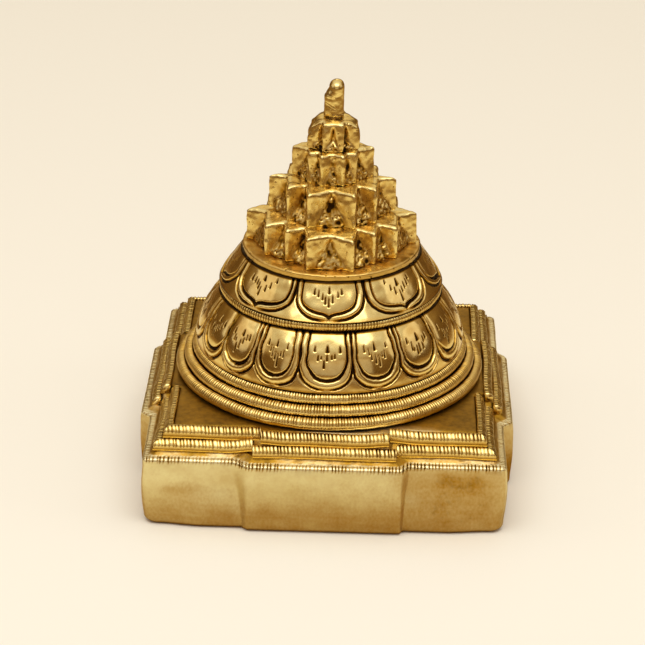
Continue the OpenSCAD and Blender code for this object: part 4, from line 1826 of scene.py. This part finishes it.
@dataclass(frozen=True)
class PhotoCamera:
    """Camera at the photograph's viewing angle.

    Attributes:
        spot: Place, in millimetres.
        aim: Point in the middle of the picture, in millimetres.
        roll: Turn about the line of sight, in degrees.
        lens: Focal length, in millimetres.
        sensor: Width of the sensor, in millimetres.
    """

    spot: tuple[float, float, float] = (7.37, -469.12, 246.63)
    aim: tuple[float, float, float] = (-1.51, 0.0, 28.52)
    roll: float = 1.067
    lens: float = 140.21
    sensor: float = 36.0

    def place(self) -> None:
        """Set the camera up and make it the scene's own."""
        camera = bpy.data.cameras.new("camera")
        camera.lens = self.lens
        camera.sensor_width = self.sensor
        camera.sensor_fit = "HORIZONTAL"
        camera.clip_start = 0.01
        camera.clip_end = 20.0
        holder = bpy.data.objects.new("camera", camera)
        bpy.context.scene.collection.objects.link(holder)
        away = Vector(self.aim) - Vector(self.spot)
        facing = away.to_track_quat("-Z", "Y").to_matrix().to_4x4()
        turned_view = facing @ Matrix.Rotation(math.radians(self.roll), 4, "Z")
        holder.matrix_world = Matrix.Translation(Vector(self.spot) * MM) @ turned_view
        bpy.context.scene.camera = holder


def ring_reach(node: str) -> tuple[float, float, float]:
    """Outer radius, lowest and highest height of a ring or plate, in millimetres."""
    low, high = box_mm(node)
    return high[0], low[2], high[2]


def lower_drum() -> LotusDrum:
    """Lower drum with sixteen petals.

    Returns:
        The drum, sized from the rings above and below it.
    """
    ring_r, _, ring_top = ring_reach("upper_girdle_ring")
    waist_r, waist_z, _ = ring_reach("waist_ring")
    low, high = box_mm("lower_lotus_drum")
    lip = (ring_r - 0.8, ring_top + 0.05)
    brow = (waist_r - 0.3, waist_z)
    neck = waist_r - 2.25
    foot = ring_r - 2.55
    hidden = [
        (neck, waist_z), (neck, high[2]), (BORE_R, high[2]), (BORE_R, low[2]), (foot, low[2]), (foot, lip[1])
    ]
    spacing = (360.0 - 61.6 - 67.0) / 10
    back = [(67.0 + spacing * step, 8.9) for step in range(1, 10)]
    seen = [(-61.6, 8.2), (-43.5, 7.9), (-23.3, 7.6), (0.0, 8.8), (22.4, 8.7), (45.0, 9.2), (67.0, 9.2)]
    inner = [
        (3.85, 13.0), (3.95, 7.0), (3.9, 6.4), (3.6, 5.2), (3.0, 4.1), (2.1, 3.2), (1.1, 2.75), (0.0, 2.6)
    ]
    outer = [
        (5.1, 13.0), (5.1, 5.2), (4.95, 4.1), (4.5, 3.0), (3.7, 2.0), (2.6, 1.2), (1.4, 0.8), (0.0, 0.65)
    ]
    marks = [
        Mark(-2.42, 9.4, 8.05, 0.4), Mark(-1.67, 8.25, 6.4, 0.32), Mark(-1.1, 7.5, 6.5, 0.28),
        Mark(-0.59, 7.3, 4.8, 0.34), Mark(0.12, 10.0, 8.25, 0.65), Mark(0.1, 7.8, 5.9, 0.34),
        Mark(0.88, 8.05, 6.5, 0.34), Mark(1.53, 8.65, 7.25, 0.3), Mark(2.4, 9.6, 8.05, 0.45),
    ]
    return LotusDrum(
        "lower_lotus_drum", CHASED, 41, lip, brow, 1.0, hidden, 1120, 74, seen + back, inner, outer,
        (0.5, 0.44, 0.42, 0.36), 0.22, marks, 0.4,
    )


def upper_drum() -> LotusDrum:
    """Upper drum with eight petals.

    Returns:
        The drum, sized from the ring below and the plate above it.
    """
    waist_r, _, waist_top = ring_reach("waist_ring")
    plate_r, plate_z, _ = ring_reach("crown_plate")
    high = box_mm("upper_lotus_drum")[1]
    neck = waist_r - 2.2
    socket = box_mm("lower_lotus_drum")[1][2] + 0.05
    lip = (waist_r + 0.05, waist_top + 0.05)
    brow = (plate_r, high[2])
    hidden = [(7.05, high[2]), (7.05, plate_z - 0.05), (BORE_R, plate_z - 0.05)]
    hidden += [(BORE_R, socket), (neck, socket), (neck, lip[1])]
    petals = [(-178.0, 17.4), (-132.0, 17.6), (-87.0, 17.4), (-41.8, 18.8)]
    petals += [(0.3, 16.2), (44.0, 18.0), (90.0, 17.4), (136.0, 17.6)]
    inner = [
        (5.8, 9.5), (5.8, 5.8), (5.7, 5.0), (5.4, 4.1), (4.8, 3.3), (4.0, 2.7), (3.0, 2.3), (2.0, 2.05),
        (1.2, 1.9), (0.6, 1.65), (0.25, 1.35), (0.0, 1.0),
    ]
    outer = [
        (7.7, 9.5), (7.6, 7.0), (7.5, 5.5), (7.25, 4.2), (6.7, 3.0), (5.7, 1.95), (4.5, 1.25), (3.2, 0.85),
        (1.6, 0.65), (0.0, 0.55),
    ]
    marks = [
        Mark(-2.77, 7.56, 6.3, 0.4), Mark(-1.75, 6.6, 5.1, 0.36), Mark(-0.84, 5.8, 4.0, 0.36),
        Mark(0.0, 7.6, 6.1, 0.6), Mark(0.0, 5.6, 3.0, 0.36), Mark(0.69, 5.8, 4.0, 0.34),
        Mark(1.47, 6.2, 4.6, 0.34), Mark(2.14, 6.8, 5.2, 0.36), Mark(3.05, 7.1, 5.8, 0.45),
    ]
    return LotusDrum(
        "upper_lotus_drum", CHASED, 57, lip, brow, -0.08, hidden, 1040, 58, petals, inner, outer,
        (0.55, 0.48, 0.42, 0.38), 0.24, marks,
    )


def pieces() -> list[Piece]:
    """All modelled pieces, from the plinth up.

    Returns:
        The pieces in the order in which they are built.
    """
    found: list[Piece] = [Plinth("plinth", SATIN, 11)]
    bent = {
        "lower_strip_front_left": (0.0, 0.42), "upper_strip_front_gate": (0.34, 0.24),
        "upper_strip_front_right": (0.3, 0.0), "lower_strip_back_right": (0.22, 0.0),
    }
    seed = 100
    for level in Level:
        for side in Side:
            for run in Run:
                node = f"{level.value}_strip_{side.name.lower()}_{run.value}"
                seed += 7
                found.append(MilledStrip(node, MILLED, seed, level, side, run, bent.get(node, (0.0, 0.0))))
    found.append(MilledRing("lower_girdle_ring", MILLED, 21, 0.58))
    found.append(MilledRing("middle_girdle_ring", MILLED, 24, 0.58))
    found.append(MilledRing("upper_girdle_ring", MILLED, 27, 0.54))
    found.append(MilledRing("waist_ring", MILLED, 31, 0.6, band=(-34.0, 84.0)))
    found += [lower_drum(), upper_drum(), CrownPlate("crown_plate", CAST, 61)]
    # Notches of each tier that hold a dark hole of painted shade, with its darkness.
    hole_shade = {
        1: ((0.0, 0.15), (-26.0, 1.1), (26.0, 0.9)), 2: ((0.0, 0.95), (-36.0, 0.7)),
        3: ((36.0, 1.4), (-36.0, 1.0))
    }
    for number, voxel in ((1, 0.17), (2, 0.15), (3, 0.13)):
        found.append(StarTier(f"star_tier_{number}", CAST, 70 + 10 * number, voxel, hole_shade=hole_shade[number]))
    # Its last entry lists the dark holes of painted shade in its notches.
    top_tier = StarTier(
        "star_tier_4", CAST, 110, 0.12, 0.45, 0.4, (0.14, 0.06), 1.2, (0.2, 0.26), ((0.0, 1.3), (45.0, 0.7))
    )
    found.append(top_tier)
    found.append(BinduFinial("bindu_finial", CAST, 121))
    return found


def main() -> None:
    """Build the pieces, the studio and the camera."""
    logging.basicConfig(level=logging.INFO, format="%(name)s %(message)s")
    for piece in pieces():
        piece.place()
    TieRodHardware().place()
    Studio().place()
    PhotoCamera().place()
    bpy.context.scene.view_settings.view_transform = "Standard"


if __name__ == "__main__":
    main()
